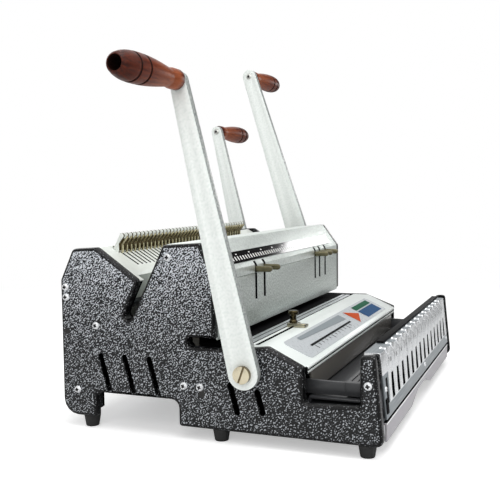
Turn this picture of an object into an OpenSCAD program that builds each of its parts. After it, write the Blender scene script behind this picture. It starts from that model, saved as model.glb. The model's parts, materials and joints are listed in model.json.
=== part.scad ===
// Desk binding machine: a lever punch with an open-sided paper throat, a comb opener
// behind it and a wire closer in front. Depths are measured from the front edge of the
// side casings and heights from the floor.

/* [Body] */
// Width over the two side casings
body_w = 430; // [415:1:450]
// Depth of one side casing across the machine
casing_t = 20; // [18:1:24]
// Width of a casing's rim beside the covers
rim_t = 8; // [7:0.5:10]
// Wall of a side casing
casing_wall = 3; // [2:0.5:4]
// Thickness of the steel frame plates
frame_t = 3; // [2:0.5:4]
// Height of the rubber feet
foot_h = 12; // [10:1:14]
// Radius of a rubber foot where it meets the casing
foot_r = 8.5; // [7:0.5:9]
// Rise of the arch between the front part and the rear leg
arch_rise = 25; // [22:1:28]
// Depth of that arch
arch_d = 91; // [82:1:96]
// Depth of the rear leg
leg_d = 39; // [35:1:44]
// Thickness of the sheet-metal covers
sheet_t = 2; // [1.5:0.1:2.4]

/* [Punch box] */
// Depth of the die in front of the punch box
die_front = 24.5; // [22:0.5:27]
// Height of the bevel over the front face
bevel_rise = 28.5; // [25.5:0.5:31.5]
// Depth of the bevel
bevel_run = 20.5; // [18.5:0.5:22.5]
// Lean of the rear wall of the punch box from upright, in degrees
wall_lean = 26.4; // [24:0.1:28]
// Depth from the punch shaft to the bottom of the rear slot
slot_room = 38; // [36:0.5:42]
// Drop from the top of the punch box to the bottom of the rear slot
slot_drop = 72.4; // [66:0.1:78]
// Width of the rear slot
rear_slot_w = 9; // [8:0.5:10]
// Height of the paper throat
throat_h = 5.5; // [5:0.1:6]
// Depth of the paper throat behind the front face
throat_d = 24; // [22:0.5:26]
// Least gap between the outermost punch pins and the guide posts
pin_room = 8; // [6:0.5:14]
// Pitch of the pins and of the opener hooks
pitch = 8.47; // [8:0.01:8.6]
// Side of a square punch pin
pin_w = 4; // [3:0.1:5]
// Distance from the paper's edge to the middle of a pin
hole_edge = 4.5; // [4:0.1:5]
// Thickness of the ram, front to back
ram_d = 16; // [14:0.5:17]
// Height of the ram
ram_h = 26; // [24:0.5:28]
// Side-to-side places of the pull tabs, as parts of the inner half width
tab_part = [-0.557, -0.427, 0.534, 0.638, 0.771];
// Reach of a pull tab in front of the face
tab_reach = 18; // [14:0.5:22]
// Thickness of a pull tab
tab_t = 3.4; // [2.6:0.1:4]
// Height of a pull tab
tab_h = 6; // [5:0.5:7]

/* [Levers] */
// Thickness of the lever arms
arm_t = 8; // [6:0.5:10]
// Gap between the left casing and its arm, and between the two right arms
arm_gap = 4; // [3:0.5:6]
// Gap between the right casing and the arm beside it
right_gap = 14; // [10:0.5:18]
// Radius of an arm at its pivot
arm_r = 14.5; // [13:0.5:16]
// Radius of an arm at its grip
arm_tip_r = 8; // [7:0.5:9]
// Extra radius of the punch arm along its length
punch_arm_extra = 2; // [0:0.5:3]
// Length of the punch lever from pivot to grip
punch_len = 302; // [270:1:330]
// Rest lean of the punch lever, towards the rear, in degrees
punch_lean = 17.5; // [14:0.1:22]
// Swing of the punch lever, in degrees
punch_swing = 75; // [70:1:76]
// Length of the closer lever from pivot to grip
closer_len = 272; // [240:1:300]
// Rest lean of the closer lever, towards the rear, in degrees
closer_lean = 12.9; // [9:0.1:16]
// Swing of the closer lever, in degrees
closer_swing = 84; // [76:1:84]
// Length of the opener lever from pivot to grip
opener_len = 221; // [200:1:240]
// Rest lean of the opener lever, towards the rear, in degrees
opener_lean = 12.5; // [8:0.1:14]
// Swing of the opener lever, in degrees
opener_swing = 60; // [54:1:60]
// Length of a wooden grip
grip_len = 105; // [95:1:116]
// Largest radius of a wooden grip
grip_r = 13; // [12:0.5:14]
// Radius of the counterbore in the end of a grip
grip_bore_r = 6.3; // [6:0.1:7]
// Depth of that counterbore
grip_bore_d = 24; // [18:1:30]
// Radius of the bolts that carry the grips
bolt_r = 4; // [3.5:0.1:4.4]
// Radius of the punch and closer shafts
shaft_r = 8; // [7:0.5:8.5]
// Radius of the opener shaft
opener_shaft_r = 6; // [5:0.5:6.5]
// Radius of the slotted pivot screws' heads
pivot_head_r = 8; // [7:0.5:9]

/* [Table and closer] */
// Depth of the front posts of the casings
post_d = 20.3; // [19:0.1:21]
// Length of the trough, front to back
trough_l = 56.2; // [52:0.1:61]
// Height of the trough's floor over the base plate
trough_rise = 6; // [5:0.5:8]
// Height of the front posts over the trough's floor
post_rise = 46; // [42:0.5:50]
// Backward lean of the closer plate at its top
front_lean = 7.2; // [5:0.1:9]
// Rise from the trough's floor to the table's front edge
table_rise = 27; // [25:0.5:29.5]
// Fall of the table from the throat to its front edge
table_drop = 16.5; // [15:0.5:18]
// Depth of the table's slope
slope_d = 36; // [33:0.5:39]
// Depth of the table's flat strip
flat_d = 20.5; // [19:0.5:22.5]
// Least distance from the last slot of the closer plate to its right end
closer_tail = 20; // [18:0.5:40]
// Pitch of the slots in the closer plate
closer_pitch = 25; // [22:0.1:25.2]
// Distance from the closer plate's left end to its first slot
closer_first = 37; // [30:0.5:38]
// Width of a slot in the closer plate
closer_slot_w = 7; // [5:0.5:9]
// Depth of the closer's jaw bar, front to back
jaw_d = 15; // [12:0.5:18]
// Height of the closer's jaw bar
jaw_h = 12.5; // [10:0.5:14]

/* [Opener] */
// Slope of the slotted opener plate, in degrees
opener_slope = 31; // [29:0.5:33]
// Depth from the bottom of the rear slot to the upper ends of the plate's slots
opener_room = 38.5; // [36:0.5:41]
// Drop from the top of the punch box to those upper ends
opener_drop = 12.4; // [11:0.1:13.6]
// Length of the plate's slots
opener_slot_l = 25; // [24:0.5:27]
// Distance from the left frame plate to the first hook
hook_inset = 23; // [17:0.5:37]
// Least distance from the last hook to the right frame plate
hook_tail = 47; // [38:0.5:60]
// Thickness of a hook
hook_t = 1.5; // [1.2:0.1:2]
// Thickness of a tooth
tooth_t = 2.4; // [2:0.1:3]

/* [Hidden] */
$fn = 48;
eps = 0.02;
run_fit = 0.05;
slide_gap = 0.3;
play = 0.7;

// Side-to-side stations, from the middle of the machine
half_w = body_w / 2;
in_casing = half_w - casing_t;
in_x = in_casing - frame_t;
cover_x = half_w - rim_t - 0.4;
arm_in = half_w + arm_gap;
arm_out = arm_in + arm_t;
right_in = half_w + right_gap;
right_out = right_in + arm_t;
outer_in = right_out + arm_gap;
outer_out = outer_in + arm_t;
grip_gap = 0.5;
reach_left = arm_out + grip_gap + grip_len;
reach_right = outer_out + grip_gap + grip_len;

// Heights, from the floor up
arch_h = foot_h + arch_rise;
floor_z = arch_h + 1;
floor_top = floor_z + sheet_t;
trough_z = floor_top + trough_rise;
post_h = trough_z + post_rise;
table_front_z = trough_z + table_rise;
paper_z = table_front_z + table_drop;
throat_top = paper_z + throat_h;
guide_h = 8;
guide_top = throat_top + guide_h;
punch_crank = 18;
punch_stroke = 2 * punch_crank * sin(punch_swing / 2);
ram_low = guide_top + punch_stroke + 7;
ram_top = ram_low + ram_h;
fold_h = ram_top;
box_h = fold_h + bevel_rise;
wall_foot_z = box_h - slot_drop;

// Depths, from the front back
table_v = post_d + trough_l;
table_bend_v = table_v + slope_d;
table_rear_v = table_bend_v + flat_d;
face_v = table_rear_v + die_front;
bevel_v = face_v + bevel_run;
stop_v = face_v + throat_d;
pin_v = stop_v - hole_edge;
ram_rear = pin_v + 4.5;
ram_v = ram_rear - ram_d;
roller_r = 5;
punch_pivot = [ram_rear + 2.5 + roller_r + punch_crank, ram_low - 14];
wall_foot_v = punch_pivot[0] + slot_room;
slot_head = [wall_foot_v + opener_room, box_h - opener_drop];
opener_pivot = [slot_head[0] + 26.5, slot_head[1] - 62];
body_d = opener_pivot[0] + 16;
rear_h = slot_head[1] + 7;
closer_crank = 18.7;
closer_pivot = [table_v + 48, floor_top + 11.3 + closer_crank];

// The model's origin lies on the floor, in the middle of the whole machine's box
opener_grip_v = opener_pivot[0] + opener_len * sin(opener_lean);
mid_x = (reach_right - reach_left) / 2;
mid_v = (opener_grip_v + grip_r) / 2;

// Places of the punch's parts
die_h = 10.5;
die_v = table_rear_v + 1;
pin_fit = 0.2;
pin_hide = 3;
pin_tip = throat_top + pin_hide;
post_v = ram_v + ram_d / 2;
post_top = ram_top + 1.5;
post_x = in_x - 17;
guide_post_r = 6;
ram_half = post_x + 9;
// What fits across the width: pins, pull tabs, hooks and closer slots
pin_count = floor(2 * (post_x - guide_post_r - pin_room - pin_w / 2) / pitch) + 1;
tab_x = [for (part = tab_part) part * in_x];
hook_first = hook_inset - in_x;
hook_count = floor((2 * in_x - hook_inset - hook_tail) / pitch) + 1;
closer_slots = floor((2 * in_x - closer_first - closer_tail) / closer_pitch) + 1;
fork_x = in_x - 30;
fork_t = 8;
tab_z = ram_top - 7.5;
tab_slot_w = 5;
tab_tail = ram_rear - 3;

// Outline of a side casing, as depth, height and corner radius, from the front corner round
arch_rear = body_d - leg_d;
arch_front = arch_rear - arch_d;
slant_v = slot_head[0] + 0.5;
slant_rise = tan(34.4);
wall_run = tan(wall_lean);
wall_up = [-sin(wall_lean), cos(wall_lean)];
wall_out = [cos(wall_lean), sin(wall_lean)];
wall_top_v = wall_foot_v - wall_run * (box_h - 2 - wall_foot_z);
slot_front = [wall_foot_v, wall_foot_z] - wall_up * rear_slot_w / 2;
slot_back = slot_front + wall_out * rear_slot_w;
slot_climb = (rear_h - (slant_v - slot_back[0]) * slant_rise - slot_back[1]) / (wall_up[1] - wall_up[0] * slant_rise);
slot_corner = slot_back + wall_up * slot_climb;
slot_round = rear_slot_w / 2 - 0.1;
side_low = paper_z - 0.5;
side_high = throat_top + 3;
side_round = (side_high - side_low) / 2 - 0.1;
side_end = stop_v + 4.5;
rim_over = 2.2;
front_kink = foot_h + 8;
casing_outline = [
  [0, foot_h, 6], [arch_front, foot_h, 3], [arch_front, arch_h, 8], [arch_rear, arch_h, 4],
  [arch_rear, foot_h, 3], [body_d, foot_h, 16], [body_d, rear_h - 33, 6], [body_d - 15, rear_h - 1.5, 6],
  [slant_v, rear_h, 5], [slot_corner[0], slot_corner[1], 4], [slot_back[0], slot_back[1], slot_round],
  [slot_front[0], slot_front[1], slot_round], [wall_top_v, box_h - 2, 4], [bevel_v, box_h + 0.3, 4],
  [face_v - 0.3, fold_h + 0.2, 6], [face_v - 0.3, side_high, 1], [side_end, side_high, side_round],
  [side_end, side_low, side_round], [table_rear_v + 8, side_low, 6], [table_bend_v + 4, paper_z + rim_over, 6],
  [table_v, table_front_z + rim_over, 3], [table_v, trough_z, 4], [post_d, trough_z, 4],
  [post_d, post_h - 1, 4], [front_lean, post_h, 4], [0, front_kink, 9]
];
// The same outline without the front post, which is solid
post_points = 5;
hollow_outline = concat(
  [for (i = [0:len(casing_outline) - post_points]) casing_outline[i]],
  [[front_at(trough_z), trough_z, 4], [0, front_kink, 9]]
);

// Working positions of the three cranks: angles in the depth and height plane
closer_stroke = 2 * closer_crank * sin(closer_swing / 2);
opener_crank = 20;
opener_stroke = 2 * opener_crank * sin(opener_swing / 2);
punch_crank_a = 180 - punch_swing / 2;
closer_crank_a = 270 - closer_swing / 2;
opener_crank_a = 90 + opener_slope - opener_swing / 2;

// Shapes in the depth and height plane
function flat(p) = [p[0], p[1]];
function unit(p) = p / norm(p);
function left_of(p) = [-p[1], p[0]];
function polar(r, a) = r * [cos(a), sin(a)];
function turned(p, a) = [p[0] * cos(a) - p[1] * sin(a), p[0] * sin(a) + p[1] * cos(a)];
// Points of the arc that rounds the corner p between its neighbours a and b
function corner(a, p, b, r, steps = 4) =
  r <= 0 ? [p] :
  let (
    u = unit(a - p),
    w = unit(b - p),
    half = acos(u * w) / 2,
    c = p + unit(u + w) * r / sin(half),
    s = p + u * r / tan(half) - c,
    e = p + w * r / tan(half) - c,
    start = atan2(s[1], s[0]),
    sweep = (atan2(e[1], e[0]) - start + 540) % 360 - 180
  ) [for (i = [0:steps]) c + polar(r, start + sweep * i / steps)];
// An outline with its corners rounded by their third values
function rounded(pts) =
  let (n = len(pts))
  [for (i = [0:n - 1]) each corner(flat(pts[(i + n - 1) % n]), flat(pts[i]), flat(pts[(i + 1) % n]), pts[i][2])];
// The same outline moved inwards by d
function inset(pts, d) =
  let (n = len(pts))
  [
    for (i = [0:n - 1])
      let (
        p = flat(pts[i]),
        before = unit(p - flat(pts[(i + n - 1) % n])),
        after = unit(flat(pts[(i + 1) % n]) - p),
        q = p + d * (left_of(before) + left_of(after)) / (1 + before * after)
      ) [q[0], q[1], cross(before, after) > 0 ? max(pts[i][2] - d, 0) : pts[i][2] + d]
  ];
// A sheet of thickness t on the left of an open path
function sheet(path, t) =
  let (
    n = len(path),
    dirs = [for (i = [0:n - 2]) unit(path[i + 1] - path[i])],
    far = [
      for (i = [0:n - 1])
        let (before = dirs[max(i - 1, 0)], after = dirs[min(i, n - 2)])
        path[i] + t * (left_of(before) + left_of(after)) / (1 + before * after)
    ]
  ) concat(path, [for (i = [n - 1:-1:0]) far[i]]);
// A point of the opener: u runs down the slope to the front, n stands up from the plate
function on_slope(u, n) = slot_head + turned([-u, n], opener_slope);

// Puts the machine's own places into the model's frame
module place() { translate([-mid_x, -mid_v, 0]) children(); }
// Extrudes a depth and height outline from side to side
module across(x0, x1) { translate([x0, 0, 0]) rotate([90, 0, 90]) linear_extrude(x1 - x0) children(); }
// A round bar from side to side
module bar(x0, x1, at, r) { translate([x0, at[0], at[1]]) rotate([0, 90, 0]) cylinder(r = r, h = x1 - x0); }
// A box from its low to its high corner
module block(a, b) { translate(a) cube(b - a); }
module both_sides() { children(); mirror([1, 0, 0]) children(); }

// The casing's outline moved inwards by g
module casing_2d(g) { polygon(rounded(inset(casing_outline, g))); }
// Room over the opener plate, from n up, between x0 and x1
module opener_seat(n, x0, x1) {
  across(x0, x1) polygon([on_slope(-17, n), on_slope(62, n), on_slope(62, 40), on_slope(-17, 40)]);
}
// Places of the casing screws, as depth and height
screw_places = [
  [wall_top_v - 5.5, box_h - 13.4], [body_d - 6, rear_h - 40], [body_d - 6.5, rear_h - 50],
  [opener_pivot[0] - 24.5, opener_pivot[1] - 8], [body_d - 17.7, foot_h + 26.5], [arch_front - 6, arch_h + 14.5],
  [arch_front - 23, arch_h + 14.5], [post_d - 7.3, trough_z + 19.5]
];
screw_r = 3.3;
screw_hole_r = 1.8;
// Lower ends of the slanted louvres, with their lengths
louvres = [
  [arch_rear - 15.5, arch_h + 4.5, 34], [arch_rear - 42.5, arch_h + 4.5, 34], [arch_rear - 69.5, arch_h + 4.5, 34],
  [table_rear_v + 2.2, foot_h + 19, 26], [table_bend_v - 2.3, foot_h + 21, 19]
];
louvre_w = 6;
louvre_lean = 15.5;
// Depth by which a casing's inner part lies under its rim, to take the covers
seat = 5;
module side_casing(shafts) {
  wall_x = -half_w + casing_wall + 1;
  difference() {
    union() {
      across(-half_w, -half_w + rim_t) casing_2d(0);
      difference() {
        across(-half_w + rim_t - eps, -in_casing) casing_2d(seat);
        opener_seat(-seat, -half_w + rim_t - 2 * eps, -in_casing + 1);
      }
    }
    across(-half_w + casing_wall, -in_casing + 1) polygon(rounded(inset(hollow_outline, seat + casing_wall)));
    for (p = screw_places) bar(-half_w - 1, -half_w + rim_t + 1, p, screw_hole_r);
    for (s = shafts) bar(-half_w - 1, -in_casing + 1, s, shaft_r + 1.5);
    for (l = louvres)
      translate([-half_w - 1, l[0], l[1]]) rotate([-louvre_lean, 0, 0]) {
        translate([0, -louvre_w / 2, 0]) cube([casing_wall + 2, louvre_w, l[2]]);
        for (z = [0, l[2]]) translate([0, 0, z]) rotate([0, 90, 0]) cylinder(d = louvre_w, h = casing_wall + 2);
      }
  }
}
bush_wall = 3;
module frame_plate() {
  difference() {
    across(-in_casing, -in_x) casing_2d(seat + 0.3);
    opener_seat(-plate_2d_t - 0.2, -in_casing - 1, -in_x + 1);
    for (s = [punch_pivot, closer_pivot]) bar(-in_casing - 1, -in_x + 1, s, shaft_r + bush_wall + run_fit);
    bar(-in_casing - 1, -in_x + 1, opener_pivot, opener_shaft_r + bush_wall + run_fit);
  }
}
module left_side_casing() { color("#4b4b4d") place() side_casing([closer_pivot]); }
module right_side_casing() { color("#4b4b4d") place() mirror([1, 0, 0]) side_casing([punch_pivot, opener_pivot]); }
module left_frame_plate() { color("#8d9196") place() frame_plate(); }
module right_frame_plate() { color("#8d9196") place() mirror([1, 0, 0]) frame_plate(); }

// Sheet-metal floor between the frame plates, turned down at its front edge
plate_t = 2.4;
floor_front = front_at(floor_top) + plate_t + 0.15;
module base_plate() {
  path = [[floor_front, floor_z - 10], [floor_front, floor_top], [body_d - 2 * sheet_t, floor_top]];
  color("#8d9196") place() across(-in_x, in_x) polygon(sheet(path, -sheet_t));
}
tray_half = in_x - 47;
tray_z = floor_top + 26;
tray_front = table_rear_v + 17;
module rear_cover() {
  path = [
    [body_d - sheet_t, floor_z], [body_d - sheet_t, rear_h - 34], [body_d - 16, rear_h - 3],
    [on_slope(-13, 0)[0], rear_h - 2]
  ];
  color("#b9bcbf") place() difference() {
    across(-in_x, in_x) polygon(sheet(path, sheet_t));
    block([-tray_half - 1, body_d - 3 * sheet_t, floor_top - eps], [tray_half + 1, body_d + 1, tray_z + 1]);
  }
}
foot_x = half_w - 11;
foot_v = [post_d - 4.5, table_rear_v + 23, body_d - 27];
module rubber_feet() {
  color("#161616") place() both_sides() for (v = foot_v)
    translate([foot_x, v, 0]) cylinder(r1 = foot_r - 2, r2 = foot_r, h = foot_h);
}
module casing_screws() {
  color("#c9c9c4") place() both_sides() for (p = screw_places) {
    bar(-half_w - 2, -half_w, p, screw_r);
    bar(-half_w - eps, -half_w + casing_wall + 3, p, screw_hole_r - run_fit);
  }
}
module bush(at, r) {
  difference() {
    union() {
      bar(-in_casing, -in_x, at, r + bush_wall);
      bar(-in_x, -in_x + 2, at, r + bush_wall + 0.5);
    }
    bar(-in_casing - 1, -in_x + 3, at, r + run_fit);
  }
}
module shaft_bushes() {
  color("#a98a4a") place() both_sides() {
    bush(punch_pivot, shaft_r);
    bush(closer_pivot, shaft_r);
    bush(opener_pivot, opener_shaft_r);
  }
}

// Punch: die, guide, stop and ram
module pin_row(w, z0, z1) {
  for (i = [0:pin_count - 1])
    translate([(i - (pin_count - 1) / 2) * pitch - w / 2, pin_v - w / 2, z0]) cube([w, w, z1 - z0]);
}
module die_block() {
  groove = 1.6;
  color("#7c8086") place() difference() {
    block([-in_x, die_v, paper_z - die_h], [in_x, stop_v + 2.5, paper_z]);
    pin_row(pin_w + 2 * pin_fit, paper_z - die_h - 1, paper_z + 1);
    for (v = [die_v + 6, die_v + 12]) block([-in_x - 1, v, paper_z - groove], [in_x + 1, v + groove, paper_z + 1]);
  }
}
module pin_guide_plate() {
  color("#7c8086") place() difference() {
    block([-in_x, face_v + sheet_t, throat_top], [in_x, ram_rear - 0.8, guide_top]);
    pin_row(pin_w + 2 * pin_fit, throat_top - 1, guide_top + 1);
    for (s = [-1, 1]) translate([s * post_x, post_v, throat_top + 2]) cylinder(r = guide_post_r + run_fit, h = guide_h);
  }
}
module paper_stop() { color("#7c8086") place() block([-in_x, stop_v, paper_z], [in_x, stop_v + 2.5, throat_top]); }
module ram_guide_posts() {
  color("#c4c7ca") place() for (s = [-1, 1])
    translate([s * post_x, post_v, throat_top + 2]) cylinder(r = guide_post_r, h = post_top - throat_top - 2);
}
face_gap = 0.4;
seam_z = fold_h - 8.5;
tab_slot_low = tab_z - punch_stroke - 7;
tab_slot_high = tab_z + tab_h + 5;
module tab_slots(depth) {
  for (x = tab_x)
    block([x - tab_slot_w / 2, face_v - 1, tab_slot_low], [x + tab_slot_w / 2, face_v + depth, tab_slot_high]);
}
module punch_front_plate() {
  color("#c6c8c9") place() difference() {
    block([-cover_x, face_v, throat_top + face_gap], [cover_x, face_v + sheet_t, seam_z - face_gap]);
    tab_slots(5);
  }
}
module punch_top_cover() {
  path = [[wall_top_v - 1, box_h - 1.5], [bevel_v, box_h], [face_v, fold_h], [face_v, seam_z]];
  color("#c6c8c9") place() difference() {
    across(-cover_x, cover_x) polygon(sheet(path, sheet_t));
    tab_slots(12);
  }
}
module punch_rear_wall() {
  foot = [wall_foot_v, wall_foot_z - 6] + [-6, 0];
  path = [foot, [wall_foot_v, wall_foot_z - 4], [wall_top_v + 1, box_h - 5]];
  color("#c6c8c9") place() across(-in_x, in_x) polygon(sheet(path, sheet_t));
}
strip_from = 0.46;
strip_to = 0.84;
module scale_strip() {
  fall = [face_v, fold_h] - [bevel_v, box_h];
  path = [[bevel_v, box_h] + strip_from * fall, [bevel_v, box_h] + strip_to * fall];
  color("#141414") place() across(-in_x + 10, in_x - 10) polygon(sheet(path, -0.8));
}
// Fork of the ram that takes a crank roller, as a depth and height outline
module fork_2d() {
  p = punch_pivot + polar(punch_crank, punch_crank_a);
  tip = punch_pivot[0] - shaft_r - 2;
  difference() {
    translate([ram_rear - eps, p[1] - roller_r - play - 5]) square([tip - ram_rear, ram_top - 8 - p[1] + roller_r + play + 5]);
    translate([punch_pivot[0] - punch_crank - roller_r - play, p[1] - roller_r - play])
      square([tip, 2 * (roller_r + play)]);
  }
}
module punch_ram() {
  color("#6f7378") place() {
    difference() {
      block([-ram_half, ram_v, ram_low], [ram_half, ram_rear, ram_top]);
      for (s = [-1, 1])
        translate([s * post_x, post_v, ram_low - 1]) cylinder(r = guide_post_r + run_fit, h = ram_h + 2);
      for (x = tab_x)
        block(
          [x - tab_t / 2 - slide_gap, ram_v - 1, tab_z - slide_gap],
          [x + tab_t / 2 + slide_gap, tab_tail + slide_gap, tab_z + tab_h + slide_gap]
        );
    }
    for (s = [-1, 1]) across(s * fork_x - fork_t / 2, s * fork_x + fork_t / 2) fork_2d();
  }
}
module punch_pins() { color("#b8bcc0") place() pin_row(pin_w, pin_tip, ram_low); }
module pull_tab(i) {
  x = tab_x[i];
  r = tab_h / 2;
  color("#8a7f4e") place() {
    block([x - tab_t / 2, face_v - tab_reach + r, tab_z], [x + tab_t / 2, tab_tail, tab_z + tab_h]);
    bar(x - tab_t / 2, x + tab_t / 2, [face_v - tab_reach + r, tab_z + r], r);
  }
}
module pull_tab_1() { pull_tab(0); }
module pull_tab_2() { pull_tab(1); }
module pull_tab_3() { pull_tab(2); }
module pull_tab_4() { pull_tab(3); }
module pull_tab_5() { pull_tab(4); }

// A crank on a shaft: web at x0 to x1, roller pin reaching on to x2
module crank(pivot, radius, a, web_r, pin_r, x0, x1, x2) {
  pin = pivot + polar(radius, a);
  tip_r = pin_r + 1.5;
  side = polar(tip_r, a + 90);
  bar(x0, x1, pivot, web_r);
  bar(x0, x1, pin, tip_r);
  across(x0, x1) polygon([pivot + side, pivot - side, pin - side, pin + side]);
  bar(min(x1, x2) - eps, max(x1, x2), pin, pin_r);
}
module cranks(pivot, radius, a, web_r, pin_r, x0, x1, x2) {
  crank(pivot, radius, a, web_r, pin_r, x0, x1, x2);
  mirror([1, 0, 0]) crank(pivot, radius, a, web_r, pin_r, x0, x1, x2);
}
// A cross shaft whose right end, tapped for the pivot screw, carries an arm
tap_r = 3;
tap_d = 12;
module cross_shaft(pivot, r, arm_x, end_x) {
  difference() {
    union() {
      bar(-in_casing - 4, end_x, pivot, r);
      bar(half_w + 1, arm_x, pivot, r + 3);
    }
    bar(end_x - tap_d, end_x + 1, pivot, tap_r);
  }
}
module punch_shaft() {
  color("#9ea2a6") place() {
    cross_shaft(punch_pivot, shaft_r, right_in, right_out - 0.5);
    cranks(
      punch_pivot, punch_crank, punch_crank_a, shaft_r + 3, roller_r,
      -fork_x - fork_t / 2 - 8, -fork_x - fork_t / 2 - 2, -fork_x + fork_t / 2
    );
  }
}
module closer_shaft() {
  color("#9ea2a6") place() {
    mirror([1, 0, 0]) cross_shaft(closer_pivot, shaft_r, arm_in, arm_out - 0.5);
    cranks(
      closer_pivot, closer_crank, closer_crank_a, shaft_r + 3, roller_r,
      -jaw_plate_x + jaw_plate_t + 2, -jaw_plate_x + jaw_plate_t + 8, -jaw_plate_x
    );
  }
}
module opener_shaft() {
  color("#9ea2a6") place() {
    cross_shaft(opener_pivot, opener_shaft_r, outer_in, outer_out - 0.5);
    cranks(
      opener_pivot, opener_crank, opener_crank_a, opener_shaft_r + 2.5, hook_roller_r,
      -yoke_x - yoke_t / 2 - 8, -yoke_x - yoke_t / 2 - 2, -yoke_x + yoke_t / 2
    );
  }
}

// A flat lever bar, tapering from its pivot to its grip, at x0 to x1
module lever_arm(pivot, length, lean, shaft, x0, x1, extra = 0) {
  up = 90 - lean;
  tip = pivot + polar(length, up);
  foot_end = arm_r + extra;
  tip_end = arm_tip_r + extra;
  slant = asin((foot_end - tip_end) / length);
  edge = [for (s = [-1, 1]) up + s * (90 - slant)];
  difference() {
    union() {
      bar(x0, x1, pivot, foot_end);
      bar(x0, x1, tip, tip_end);
      across(x0, x1) polygon([
        pivot + polar(foot_end, edge[0]), tip + polar(tip_end, edge[0]), tip + polar(tip_end, edge[1]),
        pivot + polar(foot_end, edge[1])
      ]);
    }
    bar(x0 - 1, x1 + 1, pivot, shaft + run_fit);
    bar(x0 - 1, x1 + 1, tip, bolt_r + run_fit);
  }
}
module pivot_screw(pivot, x) {
  head = 4.5;
  difference() {
    union() {
      bar(x, x + head, pivot, pivot_head_r);
      bar(x - tap_d + 1, x + eps, pivot, tap_r - run_fit);
    }
    translate([x + head, pivot[0], pivot[1]]) rotate([20, 0, 0]) cube([3, 1.8, 3 * pivot_head_r], center = true);
  }
}
// Turned grip, its axis along z from the arm to the free end: collar, neck, swell and rounded end
neck_r = grip_r * 0.65;
collar_r = grip_r * 0.73;
neck_h = grip_len * 0.18;
widest = 0.62;
end_fall = 1.1;
function swell(t) = t < widest ? sin(90 * t / widest) : 1 - end_fall * pow((t - widest) / (1 - widest), 3);
function grip_r_at(h) = neck_r + (grip_r - neck_r) * swell((h - neck_h) / (grip_len - neck_h));
module grip() {
  side = [for (i = [0:14]) let (h = neck_h + (grip_len - 2 - neck_h) * i / 14) [grip_r_at(h), h]];
  difference() {
    rotate_extrude() polygon(concat(
      [[0, 0], [collar_r - 1, 0], [collar_r, 1.5], [collar_r, neck_h * 0.6], [neck_r + 0.4, neck_h * 0.85]], side,
      [[grip_r_at(grip_len) - 0.8, grip_len], [0, grip_len]]
    ));
    for (h = [0.65, 0.8] * grip_len)
      translate([0, 0, h]) rotate_extrude() translate([grip_r_at(h) + 0.5, 0]) circle(1.7);
    translate([0, 0, -1]) cylinder(r = bolt_r + run_fit, h = grip_len + 2);
    translate([0, 0, grip_len - grip_bore_d]) cylinder(r = grip_bore_r, h = grip_bore_d + 1);
  }
}
module grip_at(pivot, length, lean, x) {
  tip = pivot + polar(length, 90 - lean);
  translate([x + grip_gap, tip[0], tip[1]]) rotate([0, 90, 0]) grip();
}
module grip_bolt_at(pivot, length, lean, x0, x1) {
  tip = pivot + polar(length, 90 - lean);
  shoulder = x1 + grip_gap + grip_len - grip_bore_d;
  bar(x0 - 1.6, x0, tip, bolt_r - 0.8);
  bar(x0 - eps, shoulder + slide_gap, tip, bolt_r);
  bar(shoulder + slide_gap - eps, shoulder + 6, tip, bolt_r + 1.6);
}
module punch_arm() {
  color("#d3d4d4") place()
    lever_arm(punch_pivot, punch_len, punch_lean, shaft_r, right_in, right_out, punch_arm_extra);
}
module punch_pivot_screw() { color("#c9b98c") place() pivot_screw(punch_pivot, right_out); }
module punch_grip() { color("#6b3524") place() grip_at(punch_pivot, punch_len, punch_lean, right_out); }
module punch_grip_bolt() { color("#c9c9c4") place() grip_bolt_at(punch_pivot, punch_len, punch_lean, right_in, right_out); }
module closer_arm() {
  color("#d3d4d4") place() mirror([1, 0, 0]) lever_arm(closer_pivot, closer_len, closer_lean, shaft_r, arm_in, arm_out);
}
module closer_pivot_screw() { color("#c9b98c") place() mirror([1, 0, 0]) pivot_screw(closer_pivot, arm_out); }
module closer_grip() { color("#6b3524") place() mirror([1, 0, 0]) grip_at(closer_pivot, closer_len, closer_lean, arm_out); }
module closer_grip_bolt() {
  color("#c9c9c4") place() mirror([1, 0, 0]) grip_bolt_at(closer_pivot, closer_len, closer_lean, arm_in, arm_out);
}
module opener_arm() {
  color("#d3d4d4") place()
    lever_arm(opener_pivot, opener_len, opener_lean, opener_shaft_r, outer_in, outer_out);
}
module opener_pivot_screw() { color("#c9b98c") place() pivot_screw(opener_pivot, outer_out); }
module opener_grip() { color("#6b3524") place() grip_at(opener_pivot, opener_len, opener_lean, outer_out); }
module opener_grip_bolt() {
  color("#c9c9c4") place() grip_bolt_at(opener_pivot, opener_len, opener_lean, outer_in, outer_out);
}

// Table: a flat strip at the throat and a slope to the front
table_t = 1.6;
guide_slot_v = table_rear_v - 6;
guide_slot_w = 3;
guide_x = -77;
guide_slot_from = -in_x + 8;
table_slope = atan((paper_z - 0.5 - table_front_z) / (table_bend_v - table_v));
module table_top() {
  path = [
    [table_v + 0.6, table_front_z - 4], [table_v, table_front_z], [table_bend_v, paper_z - 0.5],
    [table_rear_v, paper_z - 0.5]
  ];
  color("#dfe2e2") place() difference() {
    across(-cover_x, cover_x) polygon(sheet(path, -table_t));
    block(
      [guide_slot_from, guide_slot_v - guide_slot_w / 2, paper_z - 5],
      [guide_x + 6, guide_slot_v + guide_slot_w / 2, paper_z + 1]
    );
  }
}
module label_panel() {
  run = [table_bend_v - table_v, paper_z - 0.5 - table_front_z];
  base = [table_v, table_front_z];
  path = [base + 0.1 * run, base + 0.92 * run];
  color("#c3c7cb") place() across(-in_x + 30, in_x - 18) polygon(sheet(path, 0.5));
}
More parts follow.
